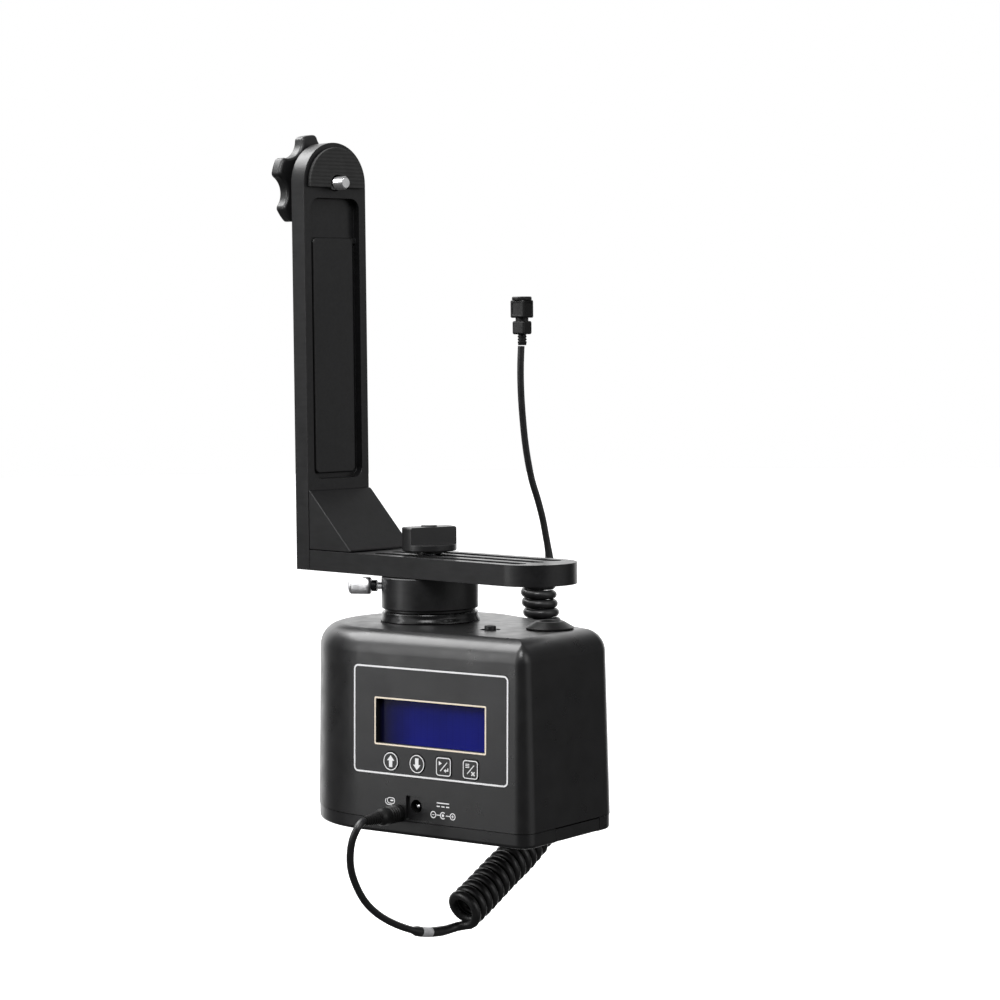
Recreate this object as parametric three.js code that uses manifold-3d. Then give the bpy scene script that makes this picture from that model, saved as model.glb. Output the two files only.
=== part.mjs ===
// Motorised pan head for a camera: a controller housing with a rotating hub, an L-shaped bracket that slides
// on the hub, and a coiled release cord. Millimetres, +Z up. The origin is the mouth of the stand socket, on
// the underside of the housing; the pan axis is Z. At rest the bracket stands turned by BRACKET_YAW.
import * as THREE from "three";
import { mergeVertices } from "three/addons/utils/BufferGeometryUtils.js";
import Module from "manifold-3d";

const wasm = await Module();
wasm.setup();

// ---- driving dimensions ----
const GAP = 0.3; // clearance kept between pieces that touch

// Housing: a round end about the pan axis, a flat front tangent to it, a flat right end and a slanted back.
const ROUND_R = 51.9;
const RIGHT_X = 91.3;
const FRONT_CORNER_R = 7;
const BACK_CORNER_R = 11;
const BACK_NORMAL = THREE.MathUtils.degToRad(65); // direction that the slanted back faces
const HOUSING_H = 89.2;
const EDGE_R = 10; // rounding between walls and top
const WALL = 2.6;
const DRAFT = Math.tan(THREE.MathUtils.degToRad(1.23));
const TRAY_H = 6.3; // height of the bottom tray, up to the parting line

// Front panel, measured along the leaning front face: x, and height above the underside.
const PANEL = { x: 38.5, z: 50.1, w: 85.3, h: 48.1, r: 4, thick: 0.4 };
const SCREEN = { x: 38.5, z: 49.7, w: 60, h: 19.6 };
const KEY_Z = 32.2;
const KEY_X0 = 17.1;
const KEY_PITCH = 14.66;
const KEY_R = 4.2;
const POWER_JACK = { x: 30.1, z: 13.1, r: 3 };
const RELEASE_JACK = { x: 21.2, z: 9.5, r: 1.6 };

// Battery door: its opening in the tray, from below and through the right wall.
const DOOR = { x0: 50, y0: -30.1, y1: 3.3 };

// Top of the housing.
const BOSS = { x: 69.3, y: -2.8, r: 10.7, top: 6, h: 3.3 };
const BUTTON = { x: 47.8, y: -18.2, r: 2.6, top: 91.1 };

// Rotating hub and what hangs on the pan axis.
const COLLAR_TOP = 93.6;
const HUB_R = 22.1;
const HUB_TOP = 109.7;
const SHAFT_R = 5;
const SHAFT_TOP = 98.5;
const STUD_R = 3;
const GEAR_TEETH = 48;
const PINION_TEETH = 12;
const GEAR_MODULE = 1;
const LOCK_Z = 104.8;
const LOCK_ANGLE = THREE.MathUtils.degToRad(214);
const LOCK_END = 38;

// Bracket, in its own frame: X along the plate, the pan axis at x = 0.
const BRACKET_YAW = THREE.MathUtils.degToRad(-9.2);
const PLATE_BOTTOM = 110;
const PLATE_TOP = 119.5;
const HALF_W = 19.1;
const PLATE_END = 86.5;
const ARM_OUT = -71.5;
const ARM_IN = -62.4;
const KNOB_Z = 291;
const SCREW_R = 3.1; // 1/4 inch camera screw
const SLOT = { x0: -24, x1: 72.5, w: 6.6, pitch: 11 };
const POCKET = { z0: 152.5, z1: 284, half: 14.9, deep: 4 };
const GUSSET = { toe: -33.3, top: 147.2 };
const KNOB = { x0: -82, x1: -75.5, r: 23.5, lobes: 6, phase: THREE.MathUtils.degToRad(9.5) };
const SCALLOP = { r: 8.7, reach: 26.8 }; // the round bites between the lobes, and how far out they lie

// Release cord. The routes are in the row's frame; the coil is stated by its axis.
const LEAD_R = 1.65;
const COIL_R = 9;
const LOWER_ROUTE = [
  [21.2, -75.5, 9.6], [21.7, -78.5, 9], [21.3, -80.6, 6.8], [19.3, -81.4, 1.9], [16.6, -79.7, -5.2],
  [14.3, -76.4, -12.4], [12.6, -71.5, -19.6], [11, -63.9, -28.2], [10.4, -56.3, -34.5], [10.3, -47.1, -40.2],
  [10.7, -35.5, -45.6], [12, -24.1, -49.5], [13.8, -12.7, -51.2], [16.6, 0.2, -50.7],
];
const COIL_ROUTE = [
  [17.5, -1.2, -43.6], [17.4, 11, -38.6], [17.2, 28.6, -30.6], [17, 46, -23.2], [18.2, 59.5, -13.5],
  [21.6, 66.4, 2], [25.2, 67.2, 22], [26, 66, 45], [22.6, 63.4, 68], [18.8, 60.6, 90], [17.9, 59.2, 108.6],
];
const UPPER_ROUTE = [
  [22.9, 63.2, 109.9], [22.8, 62, 117], [22.6, 60.2, 124.5], [22.4, 58.2, 132.3], [22, 54.8, 141.9],
  [21.3, 51.1, 151.4], [21.3, 48, 160.9], [21.4, 45.7, 170.3], [21.9, 43.6, 179.7], [22.6, 41.6, 189.1],
  [23.2, 40.3, 198.3], [23.8, 39.6, 206], [24.4, 39.4, 214],
];
const CAMERA_PLUG = [24.9, 39.5];

// ---- materials ----
const material = (color, roughness, metalness) => new THREE.MeshStandardMaterial({ color, roughness, metalness });
const shellBlack = material(0x17181a, 0.42, 0);
const panelBlack = material(0x202123, 0.5, 0);
const metalBlack = material(0x1b1b1c, 0.38, 0.6);
const knobBlack = material(0x161617, 0.45, 0);
const silver = material(0xb9bbbd, 0.25, 1);
const steel = material(0x8f9398, 0.3, 1);
const brass = material(0xb08d4a, 0.35, 1);
const rubberBlack = material(0x141414, 0.8, 0);
const cordBlack = material(0x151516, 0.5, 0);
const boardGreen = material(0x1d5a38, 0.55, 0);
const screenBlue = material(0x14147a, 0.12, 0);
const whiteBand = material(0xb5b6b8, 0.6, 0);
const cellGrey = material(0x4a4d52, 0.4, 0.3);
const nylon = material(0xd8d5c8, 0.5, 0);

// ---- geometry helpers ----
// A closed three.js geometry as a solid. A shape that was drawn inside out is turned round.
function solidOf(geometry) {
  const bare = new THREE.BufferGeometry().setAttribute("position", geometry.getAttribute("position"));
  if (geometry.index) bare.setIndex(geometry.index);
  const merged = mergeVertices(bare, 1e-4);
  const index = Array.from(merged.index.array);
  const kept = [];
  for (let i = 0; i < index.length; i += 3) {
    const [a, b, c] = index.slice(i, i + 3);
    if (a !== b && b !== c && a !== c) kept.push(a, b, c);
  }
  const build = (tris) =>
    new wasm.Manifold(
      new wasm.Mesh({
        numProp: 3,
        vertProperties: new Float32Array(merged.attributes.position.array),
        triVerts: new Uint32Array(tris),
      }),
    );
  const made = build(kept);
  if (made.volume() > 0) return made;
  for (let i = 0; i < kept.length; i += 3) [kept[i + 1], kept[i + 2]] = [kept[i + 2], kept[i + 1]];
  return build(kept);
}

function geometryOf(solid) {
  const { vertProperties, triVerts } = solid.getMesh();
  const geometry = new THREE.BufferGeometry()
    .setAttribute("position", new THREE.BufferAttribute(new Float32Array(vertProperties), 3))
    .setIndex(new THREE.BufferAttribute(new Uint32Array(triVerts), 1));
  geometry.computeVertexNormals();
  return geometry;
}

const join = (first, ...others) => others.reduce((sum, next) => sum.add(next), first);
const cut = (first, ...others) => others.reduce((rest, next) => rest.subtract(next), first);

function placed(solid, matrix) {
  return solidOf(geometryOf(solid).applyMatrix4(matrix));
}

function box(x0, x1, y0, y1, z0, z1) {
  const geometry = new THREE.BoxGeometry(x1 - x0, y1 - y0, z1 - z0);
  return solidOf(geometry.translate((x0 + x1) / 2, (y0 + y1) / 2, (z0 + z1) / 2));
}

// A solid of revolution about Z. The profile is [radius, z] pairs; it starts and ends on the axis or closes.
function turned(profile, sides = 32) {
  const points = profile.map(([r, z]) => new THREE.Vector2(r, z));
  return solidOf(new THREE.LatheGeometry(points, sides).rotateX(Math.PI / 2));
}

const rod = (r, z0, z1, sides = 20) => turned([[0, z0], [r, z0], [r, z1], [0, z1]], sides);
const tube = (r0, r1, z0, z1, sides = 24) => turned([[r0, z0], [r1, z0], [r1, z1], [r0, z1], [r0, z0]], sides);
const at = (solid, x, y, z = 0) => placed(solid, new THREE.Matrix4().makeTranslation(x, y, z));

// Turns a solid whose axis is Z so that the axis points along a direction, from a start point.
function aimed(solid, direction, start = [0, 0, 0]) {
  const turn = new THREE.Quaternion().setFromUnitVectors(
    new THREE.Vector3(0, 0, 1),
    new THREE.Vector3(...direction).normalize(),
  );
  const one = new THREE.Vector3(1, 1, 1);
  return placed(solid, new THREE.Matrix4().compose(new THREE.Vector3(...start), turn, one));
}

function extruded(shape, z0, z1, curveSegments = 8) {
  const geometry = new THREE.ExtrudeGeometry(shape, { depth: z1 - z0, bevelEnabled: false, curveSegments });
  return solidOf(geometry.translate(0, 0, z0));
}

function polygon(points) {
  return new THREE.Shape(points.map(([x, y]) => new THREE.Vector2(x, y)));
}

function roundedRect(cx, cy, w, h, r) {
  const shape = new THREE.Shape();
  const [x0, x1, y0, y1] = [cx - w / 2, cx + w / 2, cy - h / 2, cy + h / 2];
  shape.moveTo(x0 + r, y0);
  shape.lineTo(x1 - r, y0);
  shape.absarc(x1 - r, y0 + r, r, -Math.PI / 2, 0, false);
  shape.lineTo(x1, y1 - r);
  shape.absarc(x1 - r, y1 - r, r, 0, Math.PI / 2, false);
  shape.lineTo(x0 + r, y1);
  shape.absarc(x0 + r, y1 - r, r, Math.PI / 2, Math.PI, false);
  shape.lineTo(x0, y0 + r);
  shape.absarc(x0 + r, y0 + r, r, Math.PI, 1.5 * Math.PI, false);
  return shape;
}

// A closed body through rings of equally many points, each ring [[x, y, z], ...], with flat ends.
function loft(rings) {
  const n = rings[0].length;
  const positions = rings.flat(2);
  const index = [];
  for (let k = 0; k + 1 < rings.length; k++) {
    for (let i = 0; i < n; i++) {
      const [a, b] = [k * n + i, k * n + ((i + 1) % n)];
      index.push(a, b, b + n, a, b + n, a + n);
    }
  }
  const last = (rings.length - 1) * n;
  for (let i = 1; i + 1 < n; i++) index.push(0, i + 1, i, last, last + i, last + i + 1);
  const geometry = new THREE.BufferGeometry()
    .setAttribute("position", new THREE.Float32BufferAttribute(positions, 3))
    .setIndex(index);
  return solidOf(geometry);
}

// A round tube of constant radius along a smooth route.
function along(route, radius, sides, steps) {
  const curve = new THREE.CatmullRomCurve3(route.map((p) => new THREE.Vector3(...p)), false, "centripetal");
  const ring = [...Array(sides)].map((_, i) => {
    const a = (2 * Math.PI * i) / sides;
    return [radius * Math.cos(a), radius * Math.sin(a)];
  });
  return solidOf(new THREE.ExtrudeGeometry(polygon(ring), { steps, extrudePath: curve }));
}

function mesh(name, solid, look) {
  const made = new THREE.Mesh(geometryOf(solid), look);
  made.name = name;
  return made;
}

// ---- housing outline ----
function arc(cx, cy, r, from, to, steps) {
  return [...Array(steps + 1)].map((_, i) => {
    const a = from + ((to - from) * i) / steps;
    return [cx + r * Math.cos(a), cy + r * Math.sin(a)];
  });
}

// The housing's plan, set in from its widest outline by some millimetres.
function outline(inset) {
  const r = ROUND_R - inset;
  const x = RIGHT_X - inset;
  const front = Math.max(FRONT_CORNER_R - inset, 0.5);
  const back = Math.max(BACK_CORNER_R - inset, 0.5);
  const backX = x - back;
  const backY = (r - back - Math.cos(BACK_NORMAL) * backX) / Math.sin(BACK_NORMAL);
  return [
    ...arc(0, 0, r, BACK_NORMAL, 1.5 * Math.PI, 26),
    ...arc(x - front, front - r, front, 1.5 * Math.PI, 2 * Math.PI, 5),
    ...arc(backX, backY, back, 0, BACK_NORMAL, 5),
  ];
}

const ringAt = (inset, z) => outline(inset).map(([x, y]) => [x, y, z]);

// The drafted body with its rounded top edge, all of it set in by some millimetres from the outside.
function housingBody(z0, setIn) {
  const top = HOUSING_H - setIn;
  const radius = EDGE_R - setIn;
  const rings = [ringAt(setIn + DRAFT * z0, z0), ringAt(setIn + DRAFT * (top - radius), top - radius)];
  for (const share of [0.2, 0.4, 0.6, 0.8, 1]) {
    const a = (share * Math.PI) / 2;
    const z = top - radius + radius * Math.sin(a);
    rings.push(ringAt(setIn + DRAFT * z + radius * (1 - Math.cos(a)), z));
  }
  return loft(rings);
}

// The front face leans back by the draft: in this frame y = 0 is the face, and z runs up along it.
const frontFrame = new THREE.Matrix4()
  .makeTranslation(0, -ROUND_R, 0)
  .multiply(new THREE.Matrix4().makeRotationX(-Math.atan(DRAFT)));
const onFront = (solid) => placed(solid, frontFrame);

// A flat outline drawn in x and z, given depth from y0 to y1 behind the front face.
function facePlate(shape, y0, y1, curveSegments = 8) {
  const made = extruded(shape, 0, y1 - y0, curveSegments);
  return onFront(placed(made, new THREE.Matrix4().makeTranslation(0, y1, 0).multiply(
    new THREE.Matrix4().makeRotationX(Math.PI / 2),
  )));
}

const keyX = (i) => KEY_X0 + i * KEY_PITCH;
const keyShape = (i, r) => {
  if (i > 1) return roundedRect(keyX(i), KEY_Z, 2 * r, 2 * r, 0.35 * r);
  const shape = new THREE.Shape();
  shape.absarc(keyX(i), KEY_Z, r, 0, 2 * Math.PI, false);
  return shape;
};

// ---- housing ----
const POSTS = [[-28, -24], [-20, 36], [46, -38], [40, 22]];

function housingCover() {
  const seam = TRAY_H + GAP;
  let made = cut(housingBody(seam, 0), housingBody(seam - 1, WALL));
  for (const [x, y] of POSTS) made = join(made, at(tube(1.9, 3.6, 12, HOUSING_H - 2, 12), x, y));
  made = join(made, tube(11.4, 14, 79.5, HOUSING_H - 2));
  const { x, y, r } = BUTTON;
  made = cut(
    made,
    rod(6, 78, 95),
    at(rod(4.6, HOUSING_H - 0.8, 95), x, y),
    at(rod(r + GAP, 80, 95), x, y),
    facePlate(roundedRect(PANEL.x, PANEL.z, PANEL.w + 0.6, PANEL.h + 0.6, PANEL.r), -1, PANEL.thick + GAP),
    facePlate(roundedRect(SCREEN.x, SCREEN.z, SCREEN.w, SCREEN.h, 0.6), -1, 4),
    facePlate(roundedRect(POWER_JACK.x, 12.5, 9.2, 10.8, 0.8), -1, 1.5),
    onFront(aimed(rod(POWER_JACK.r, -1, 5), [0, 1, 0], [POWER_JACK.x, 0, POWER_JACK.z])),
    onFront(aimed(rod(RELEASE_JACK.r + 0.3, -1, 5), [0, 1, 0], [RELEASE_JACK.x, 0, RELEASE_JACK.z])),
  );
  for (let i = 0; i < 4; i++) made = cut(made, facePlate(keyShape(i, KEY_R + GAP), -1, 4, 6));
  return mesh("housing_cover", made, shellBlack);
}

function bottomTray() {
  const outside = loft([ringAt(1.6, 0), ringAt(0.7, 0.5), ringAt(0.4, 1.5), ringAt(0.4, TRAY_H)]);
  let made = cut(outside, loft([ringAt(3, 3), ringAt(3, TRAY_H + 1)]));
  made = join(made, rod(14, 2.5, 8));
  made = cut(made, rod(9.3, -1, 9), box(DOOR.x0, 95, DOOR.y0, DOOR.y1, -1, 8));
  for (const [x, y] of POSTS) made = cut(made, at(rod(1.9, -1, 4, 12), x, y), at(rod(3.2, -1, 1.6, 12), x, y));
  return mesh("bottom_tray", made, shellBlack);
}

function batteryDoor() {
  const [y0, y1] = [DOOR.y0 + GAP, DOOR.y1 - GAP];
  const plate = box(DOOR.x0 + GAP, 90, y0, y1, 0.2, 2.4);
  const tab = box(87.8, 90.9, y0, y1, 0.6, 6);
  const grip = [0, 1, 2].map((i) => box(84 - 3 * i, 85.2 - 3 * i, y0 + 9, y1 - 9, -1, 0.7));
  return mesh("battery_door", cut(join(plate, tab), ...grip), shellBlack);
}

function standSocket() {
  const body = turned([[4.6, 0.1], [9, 0.1], [9, 14], [0, 14], [0, 12], [4.6, 12], [4.6, 0.1]]);
  return mesh("stand_socket", body, steel);
}

function postScrews() {
  return POSTS.map(([x, y], i) => {
    const body = turned([[0, 0.4], [2.8, 0.4], [2.8, 1.3], [1.5, 1.3], [1.5, 24], [0, 24]], 12);
    return mesh("housing_screw_" + (i + 1), at(body, x, y), steel);
  });
}

function frontPanel() {
  let made = facePlate(roundedRect(PANEL.x, PANEL.z, PANEL.w, PANEL.h, PANEL.r), 0, PANEL.thick);
  made = cut(made, facePlate(roundedRect(SCREEN.x, SCREEN.z, SCREEN.w, SCREEN.h, 0.6), -1, 1));
  for (let i = 0; i < 4; i++) made = cut(made, facePlate(keyShape(i, KEY_R + GAP), -1, 1, 6));
  return mesh("front_panel", made, panelBlack);
}

function displayAndBoards() {
  const glass = facePlate(roundedRect(SCREEN.x, SCREEN.z, 63, 22, 0.5), 3, 5.4);
  const carrier = facePlate(roundedRect(SCREEN.x, 51, 77, 25, 1), 5.8, 7.4);
  const keypad = facePlate(roundedRect(SCREEN.x + 0.6, KEY_Z - 0.6, 58, 11.4, 1), 5.5, 7.1);
  const main = box(-4, 41, -36.6, -19, 17.6, 19.2);
  return [
    mesh("display_glass", glass, screenBlue),
    mesh("display_board", carrier, boardGreen),
    mesh("keypad_board", keypad, boardGreen),
    mesh("main_board", main, boardGreen),
  ];
}

function keys() {
  return ["key_up", "key_down", "key_start", "key_menu"].map((name, i) =>
    mesh(name, facePlate(keyShape(i, KEY_R), -0.3, 4.3, 6), panelBlack),
  );
}

function jacks() {
  const power = cut(
    onFront(box(26.3, 33.9, 2.9, 13, 8.6, 16.9)),
    onFront(aimed(rod(POWER_JACK.r - 0.1, 0, 11), [0, 1, 0], [POWER_JACK.x, 1, POWER_JACK.z])),
  );
  const pin = onFront(aimed(rod(0.9, 0, 9.4, 10), [0, 1, 0], [POWER_JACK.x, 2.4, POWER_JACK.z]));
  const release = cut(
    onFront(box(17.6, 24.8, 2.9, 17, 7, 12.4)),
    onFront(aimed(rod(RELEASE_JACK.r, 0, 14), [0, 1, 0], [RELEASE_JACK.x, 1, RELEASE_JACK.z])),
  );
  return [
    mesh("power_jack", power, rubberBlack),
    mesh("power_jack_pin", pin, silver),
    mesh("release_jack", release, rubberBlack),
  ];
}

function topPieces() {
  const { x, y, r, top, h } = BOSS;
  const z = HOUSING_H + GAP;
  const dished = [[0, z], [r, z], [r, z + 0.5], [top + 0.4, z + h - 0.2], [top, z + h], [top - 1, z + h],
    [top - 1.6, z + h - 0.9], [0, z + h - 0.9]];
  const button = turned([[0, 84.9], [BUTTON.r, 84.9], [BUTTON.r, BUTTON.top - 0.4],
    [BUTTON.r - 0.5, BUTTON.top], [0, BUTTON.top]], 20);
  const collar = [[6, z], [22.8, z], [22.7, z + 0.9], [22.2, z + 2],
    [HUB_R, COLLAR_TOP], [6, COLLAR_TOP], [6, z]];
  return [
    mesh("top_boss", at(turned(dished, 28), x, y), rubberBlack),
    mesh("power_button", at(button, BUTTON.x, BUTTON.y), knobBlack),
    mesh("power_switch", box(BUTTON.x - 4, BUTTON.x + 4, BUTTON.y - 4, BUTTON.y + 4, 77, 83.6), rubberBlack),
    mesh("pan_collar", turned(collar, 40), metalBlack),
    mesh("upper_bearing", tube(SHAFT_R + 0.3, 11.1, 80.5, 86.2), steel),
    mesh("lower_bearing", tube(SHAFT_R + 0.3, 9.5, 57.5, 62.5), steel),
  ];
}

function batteries() {
  const outer = cut(box(48.6, 83.4, -31.4, 2.8, 3.4, 58), box(50.1, 81.9, -29.9, 1.3, 2, 56.6));
  const cells = [[58.3, -21.9], [73.7, -21.9], [58.3, -6.7], [73.7, -6.7]].map(([x, y], i) => {
    const body = turned([[0, 5.6], [7.1, 5.6], [7.1, 54.6], [2.6, 54.6], [2.6, 56], [0, 56]], 16);
    return mesh("battery_" + (i + 1), at(body, x, y), cellGrey);
  });
  return [mesh("battery_case", outer, rubberBlack), ...cells];
}

// ---- drive, in a frame that shares the bracket's yaw ----
function gearShape(teeth, phase) {
  const pitchR = (teeth * GEAR_MODULE) / 2;
  const step = (2 * Math.PI) / teeth;
  const flank = [[-1.15, 0.33], [0, 0.215], [0.8, 0.11]]; // height over the pitch circle, half width in steps
  const points = [];
  for (let i = 0; i < teeth; i++) {
    const mid = phase + i * step;
    for (const [h, half] of flank) points.push([pitchR + h, mid - half * step]);
    for (const [h, half] of flank.toReversed()) points.push([pitchR + h, mid + half * step]);
  }
  return polygon(points.map(([r, a]) => [r * Math.cos(a), r * Math.sin(a)]));
}

const DRIVE_X = ((GEAR_TEETH + PINION_TEETH) * GEAR_MODULE) / 2;

function motorAndChassis() {
  const plate = cut(
    box(-25, 46.8, -17, 17, 60, 62),
    rod(9.8, 59, 63),
    at(rod(4, 59, 63), DRIVE_X, 0),
  );
  const legs = [[-22, -13], [-22, 13], [44.2, 13.8]].map(([x, y]) => at(rod(2.4, 3.6, 61, 12), x, y));
  return [
    mesh("chassis_plate", join(plate, ...legs), steel),
    mesh("motor_can", at(rod(12.5, 20, 46, 24), DRIVE_X, 0), steel),
    mesh("motor_gearbox", at(rod(13, 46.3, 59.7, 24), DRIVE_X, 0), brass),
  ];
}

function drivePinion() {
  const teeth = extruded(gearShape(PINION_TEETH, Math.PI / PINION_TEETH), 65, 73);
  return mesh("drive_pinion", at(join(teeth, rod(1.9, 60.1, 74, 12)), DRIVE_X, 0), brass);
}

function shaftPieces() {
  const gear = cut(extruded(gearShape(GEAR_TEETH, 0), 66, 72), rod(SHAFT_R + 0.3, 60, 75));
  return [
    mesh("output_shaft", rod(SHAFT_R, 50, SHAFT_TOP, 24), steel),
    mesh("output_gear", gear, nylon),
    mesh("shaft_nut", cut(rod(8, 51, 57, 6), rod(SHAFT_R + 0.3, 50, 58)), steel),
  ];
}

function panHub() {
  const foot = COLLAR_TOP + GAP;
  const boreR = SHAFT_R + GAP;
  const profile = [
    [boreR, foot], [20.8, foot], [20.8, 95], [HUB_R, 95.4], [HUB_R, HUB_TOP - 0.4], [HUB_R - 0.4, HUB_TOP],
    [STUD_R + 0.4, HUB_TOP], [STUD_R + 0.4, 100.6], [0, 100.6], [0, SHAFT_TOP + GAP],
    [boreR, SHAFT_TOP + GAP], [boreR, foot],
  ];
  const hole = lockAimed(rod(2, 9, 30, 12));
  return mesh("pan_hub", cut(turned(profile, 48), hole), metalBlack);
}

const lockAimed = (solid) => aimed(solid, [Math.cos(LOCK_ANGLE), Math.sin(LOCK_ANGLE), 0], [0, 0, LOCK_Z]);

function lockScrew() {
  const shank = turned([[0, 10.5], [1.6, 10.5], [1.6, 24.4], [0, 24.4]], 12);
  const collar = turned([[0, 24.7], [2.6, 24.7], [2.6, 27.4], [0, 27.4]], 16);
  const profile = [[0, 27.7], [3.4, 27.7], [3.9, 28.3], [3.9, LOCK_END - 1], [3.2, LOCK_END], [0, LOCK_END]];
  const head = turned(profile, 24);
  return [
    mesh("lock_screw_shank", lockAimed(shank), silver),
    mesh("lock_screw_collar", lockAimed(collar), metalBlack),
    mesh("lock_screw_head", lockAimed(head), silver),
  ];
}

// ---- clamp knob over the pan axis ----
const WING = { half: 5.2, angle: THREE.MathUtils.degToRad(71), z: 124.2, top: 132.2 };

function clampKnob() {
  const body = turned([
    [0, PLATE_TOP + GAP], [6.2, PLATE_TOP + GAP], [6.2, 121.2], [12.1, 121.2], [12.5, 121.6],
    [12.5, WING.top - 0.6], [11.9, WING.top], [3.7, WING.top], [3.7, WING.top + 0.6], [0, WING.top + 0.6],
  ], 40);
  const turn = new THREE.Matrix4().makeRotationZ(WING.angle);
  const sides = [1, -1].map((s) => {
    const [a, b] = [s * WING.half, s * 14].sort((p, q) => p - q);
    return placed(box(-14, 14, a, b, WING.z, WING.top + 2), turn);
  });
  return [
    mesh("clamp_knob", cut(body, ...sides), knobBlack),
    mesh("clamp_stud", rod(STUD_R, 102, PLATE_TOP, 16), steel),
  ];
}

// ---- bracket ----
function slidePlate() {
  const shape = new THREE.Shape();
  const start = ARM_IN + GAP;
  shape.moveTo(start, -HALF_W);
  shape.lineTo(PLATE_END - HALF_W, -HALF_W);
  shape.absarc(PLATE_END - HALF_W, 0, HALF_W, -Math.PI / 2, Math.PI / 2, false);
  shape.lineTo(start, HALF_W);
  let made = extruded(shape, PLATE_BOTTOM, PLATE_TOP, 20);
  for (const y of [-SLOT.pitch, 0, SLOT.pitch]) {
    const slot = roundedRect((SLOT.x0 + SLOT.x1) / 2, y, SLOT.x1 - SLOT.x0, SLOT.w, SLOT.w / 2);
    made = cut(made, extruded(slot, PLATE_BOTTOM - 1, PLATE_TOP + 1, 5));
  }
  return mesh("slide_plate", made, metalBlack);
}

// The gusset: one solid wedge across the whole width of the bracket.
function cornerGusset() {
  const x0 = ARM_IN + GAP;
  const z0 = PLATE_TOP + GAP;
  const { toe, top } = GUSSET;
  const side = polygon([[x0, z0], [toe, z0], [toe, z0 + 0.8], [x0 + 1, top], [x0, top]]);
  const stand = new THREE.Matrix4().makeRotationX(Math.PI / 2);
  const wedge = placed(extruded(side, 0, 2 * HALF_W), stand);
  return mesh("corner_gusset", at(wedge, 0, HALF_W), metalBlack);
}

// Outline of the arm seen along X, drawn with the horizontal first: straight sides and a round top.
function armShape(half, z0) {
  const shape = new THREE.Shape();
  shape.moveTo(-half, z0);
  shape.lineTo(half, z0);
  shape.lineTo(half, KNOB_Z);
  shape.absarc(0, KNOB_Z, half, 0, Math.PI, false);
  shape.lineTo(-half, z0);
  return shape;
}

// Stands a solid drawn in the XY plane up into the YZ plane, so that its depth runs along X from x0.
function upright(solid, x0) {
  const turn = new THREE.Matrix4().makeBasis(
    new THREE.Vector3(0, 1, 0), new THREE.Vector3(0, 0, 1), new THREE.Vector3(1, 0, 0),
  );
  return placed(solid, new THREE.Matrix4().makeTranslation(x0, 0, 0).multiply(turn));
}

function uprightArm() {
  const { z0, z1, half, deep } = POCKET;
  const depth = ARM_IN - ARM_OUT;
  const slab = upright(extruded(armShape(HALF_W, PLATE_BOTTOM), 0, depth, 16), ARM_OUT);
  const mouth = roundedRect(0, (z0 + z1) / 2, 2 * half, z1 - z0, 5);
  const pocket = upright(extruded(mouth, 0, deep + 1), ARM_IN - deep);
  const rib = box(ARM_IN - deep - 1, ARM_IN - deep + 1.2, -half, half, 263, 265.5);
  const bore = aimed(rod(3.6, -20, 20), [1, 0, 0], [ARM_IN, 0, KNOB_Z]);
  const screwHoles = [-10, 10].map((y) => aimed(rod(2.4, -20, 5, 12), [1, 0, 0], [ARM_IN, y, 132]));
  return mesh("upright_arm", cut(join(cut(slab, pocket), rib), bore, ...screwHoles), metalBlack);
}

function bracketScrews() {
  return [-10, 10].map((y, i) => {
    const body = turned([[0, -9.2], [2.1, -9.2], [2.1, -0.5], [0, -0.5]], 12);
    return mesh("bracket_screw_" + (i + 1), aimed(body, [1, 0, 0], [ARM_IN, y, 132]), steel);
  });
}

function cameraPad() {
  const shape = new THREE.Shape();
  const [r, drop] = [16.8, -2.1];
  const start = Math.asin(drop / r);
  shape.absarc(0, KNOB_Z, r, start, Math.PI - start, false);
  const pad = cut(
    upright(extruded(shape, 0, 2, 20), ARM_IN + GAP),
    aimed(rod(3.9, 0, 6), [1, 0, 0], [ARM_IN, 0, KNOB_Z]),
  );
  return mesh("camera_pad", pad, rubberBlack);
}

// Hand knob on the outside of the arm, a disc with a scallop between each pair of lobes, and its screw.
function starKnob() {
  const onAxis = (solid, x) => aimed(solid, [1, 0, 0], [x, 0, KNOB_Z]);
  let body = onAxis(rod(KNOB.r, 0, KNOB.x1 - KNOB.x0, 72), KNOB.x0);
  for (let i = 0; i < KNOB.lobes; i++) {
    const a = KNOB.phase + ((i + 0.5) * 2 * Math.PI) / KNOB.lobes;
    const [y, z] = [-SCALLOP.reach * Math.sin(a), KNOB_Z + SCALLOP.reach * Math.cos(a)];
    body = cut(body, aimed(rod(SCALLOP.r, -1, 10, 24), [1, 0, 0], [KNOB.x0, y, z]));
  }
  body = join(body, onAxis(rod(8, -2, ARM_OUT - GAP - KNOB.x1, 24), KNOB.x1));
  return [
    mesh("star_knob", cut(body, onAxis(rod(SCREW_R + GAP, -1, 12, 16), KNOB.x0 + 2)), knobBlack),
    mesh("camera_screw", onAxis(rod(SCREW_R, 0, ARM_IN + 8 - KNOB.x0 - 2, 16), KNOB.x0 + 1.3), silver),
  ];
}

// ---- release cord ----
function releasePlug() {
  const { x, z } = RELEASE_JACK;
  const face = GAP + 0.1;
  const profile = [[0, -13], [1.25, -13], [1.25, face], [3.7, face], [3.9, 1.2], [3.9, 12],
    [3.2, 13.4], [2.7, 15], [2.1, 23.4], [0, 23.4]];
  const start = [x, -ROUND_R + DRAFT * z, z];
  return mesh("release_plug", aimed(turned(profile, 20), [0, -1, 0], start), rubberBlack);
}

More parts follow.
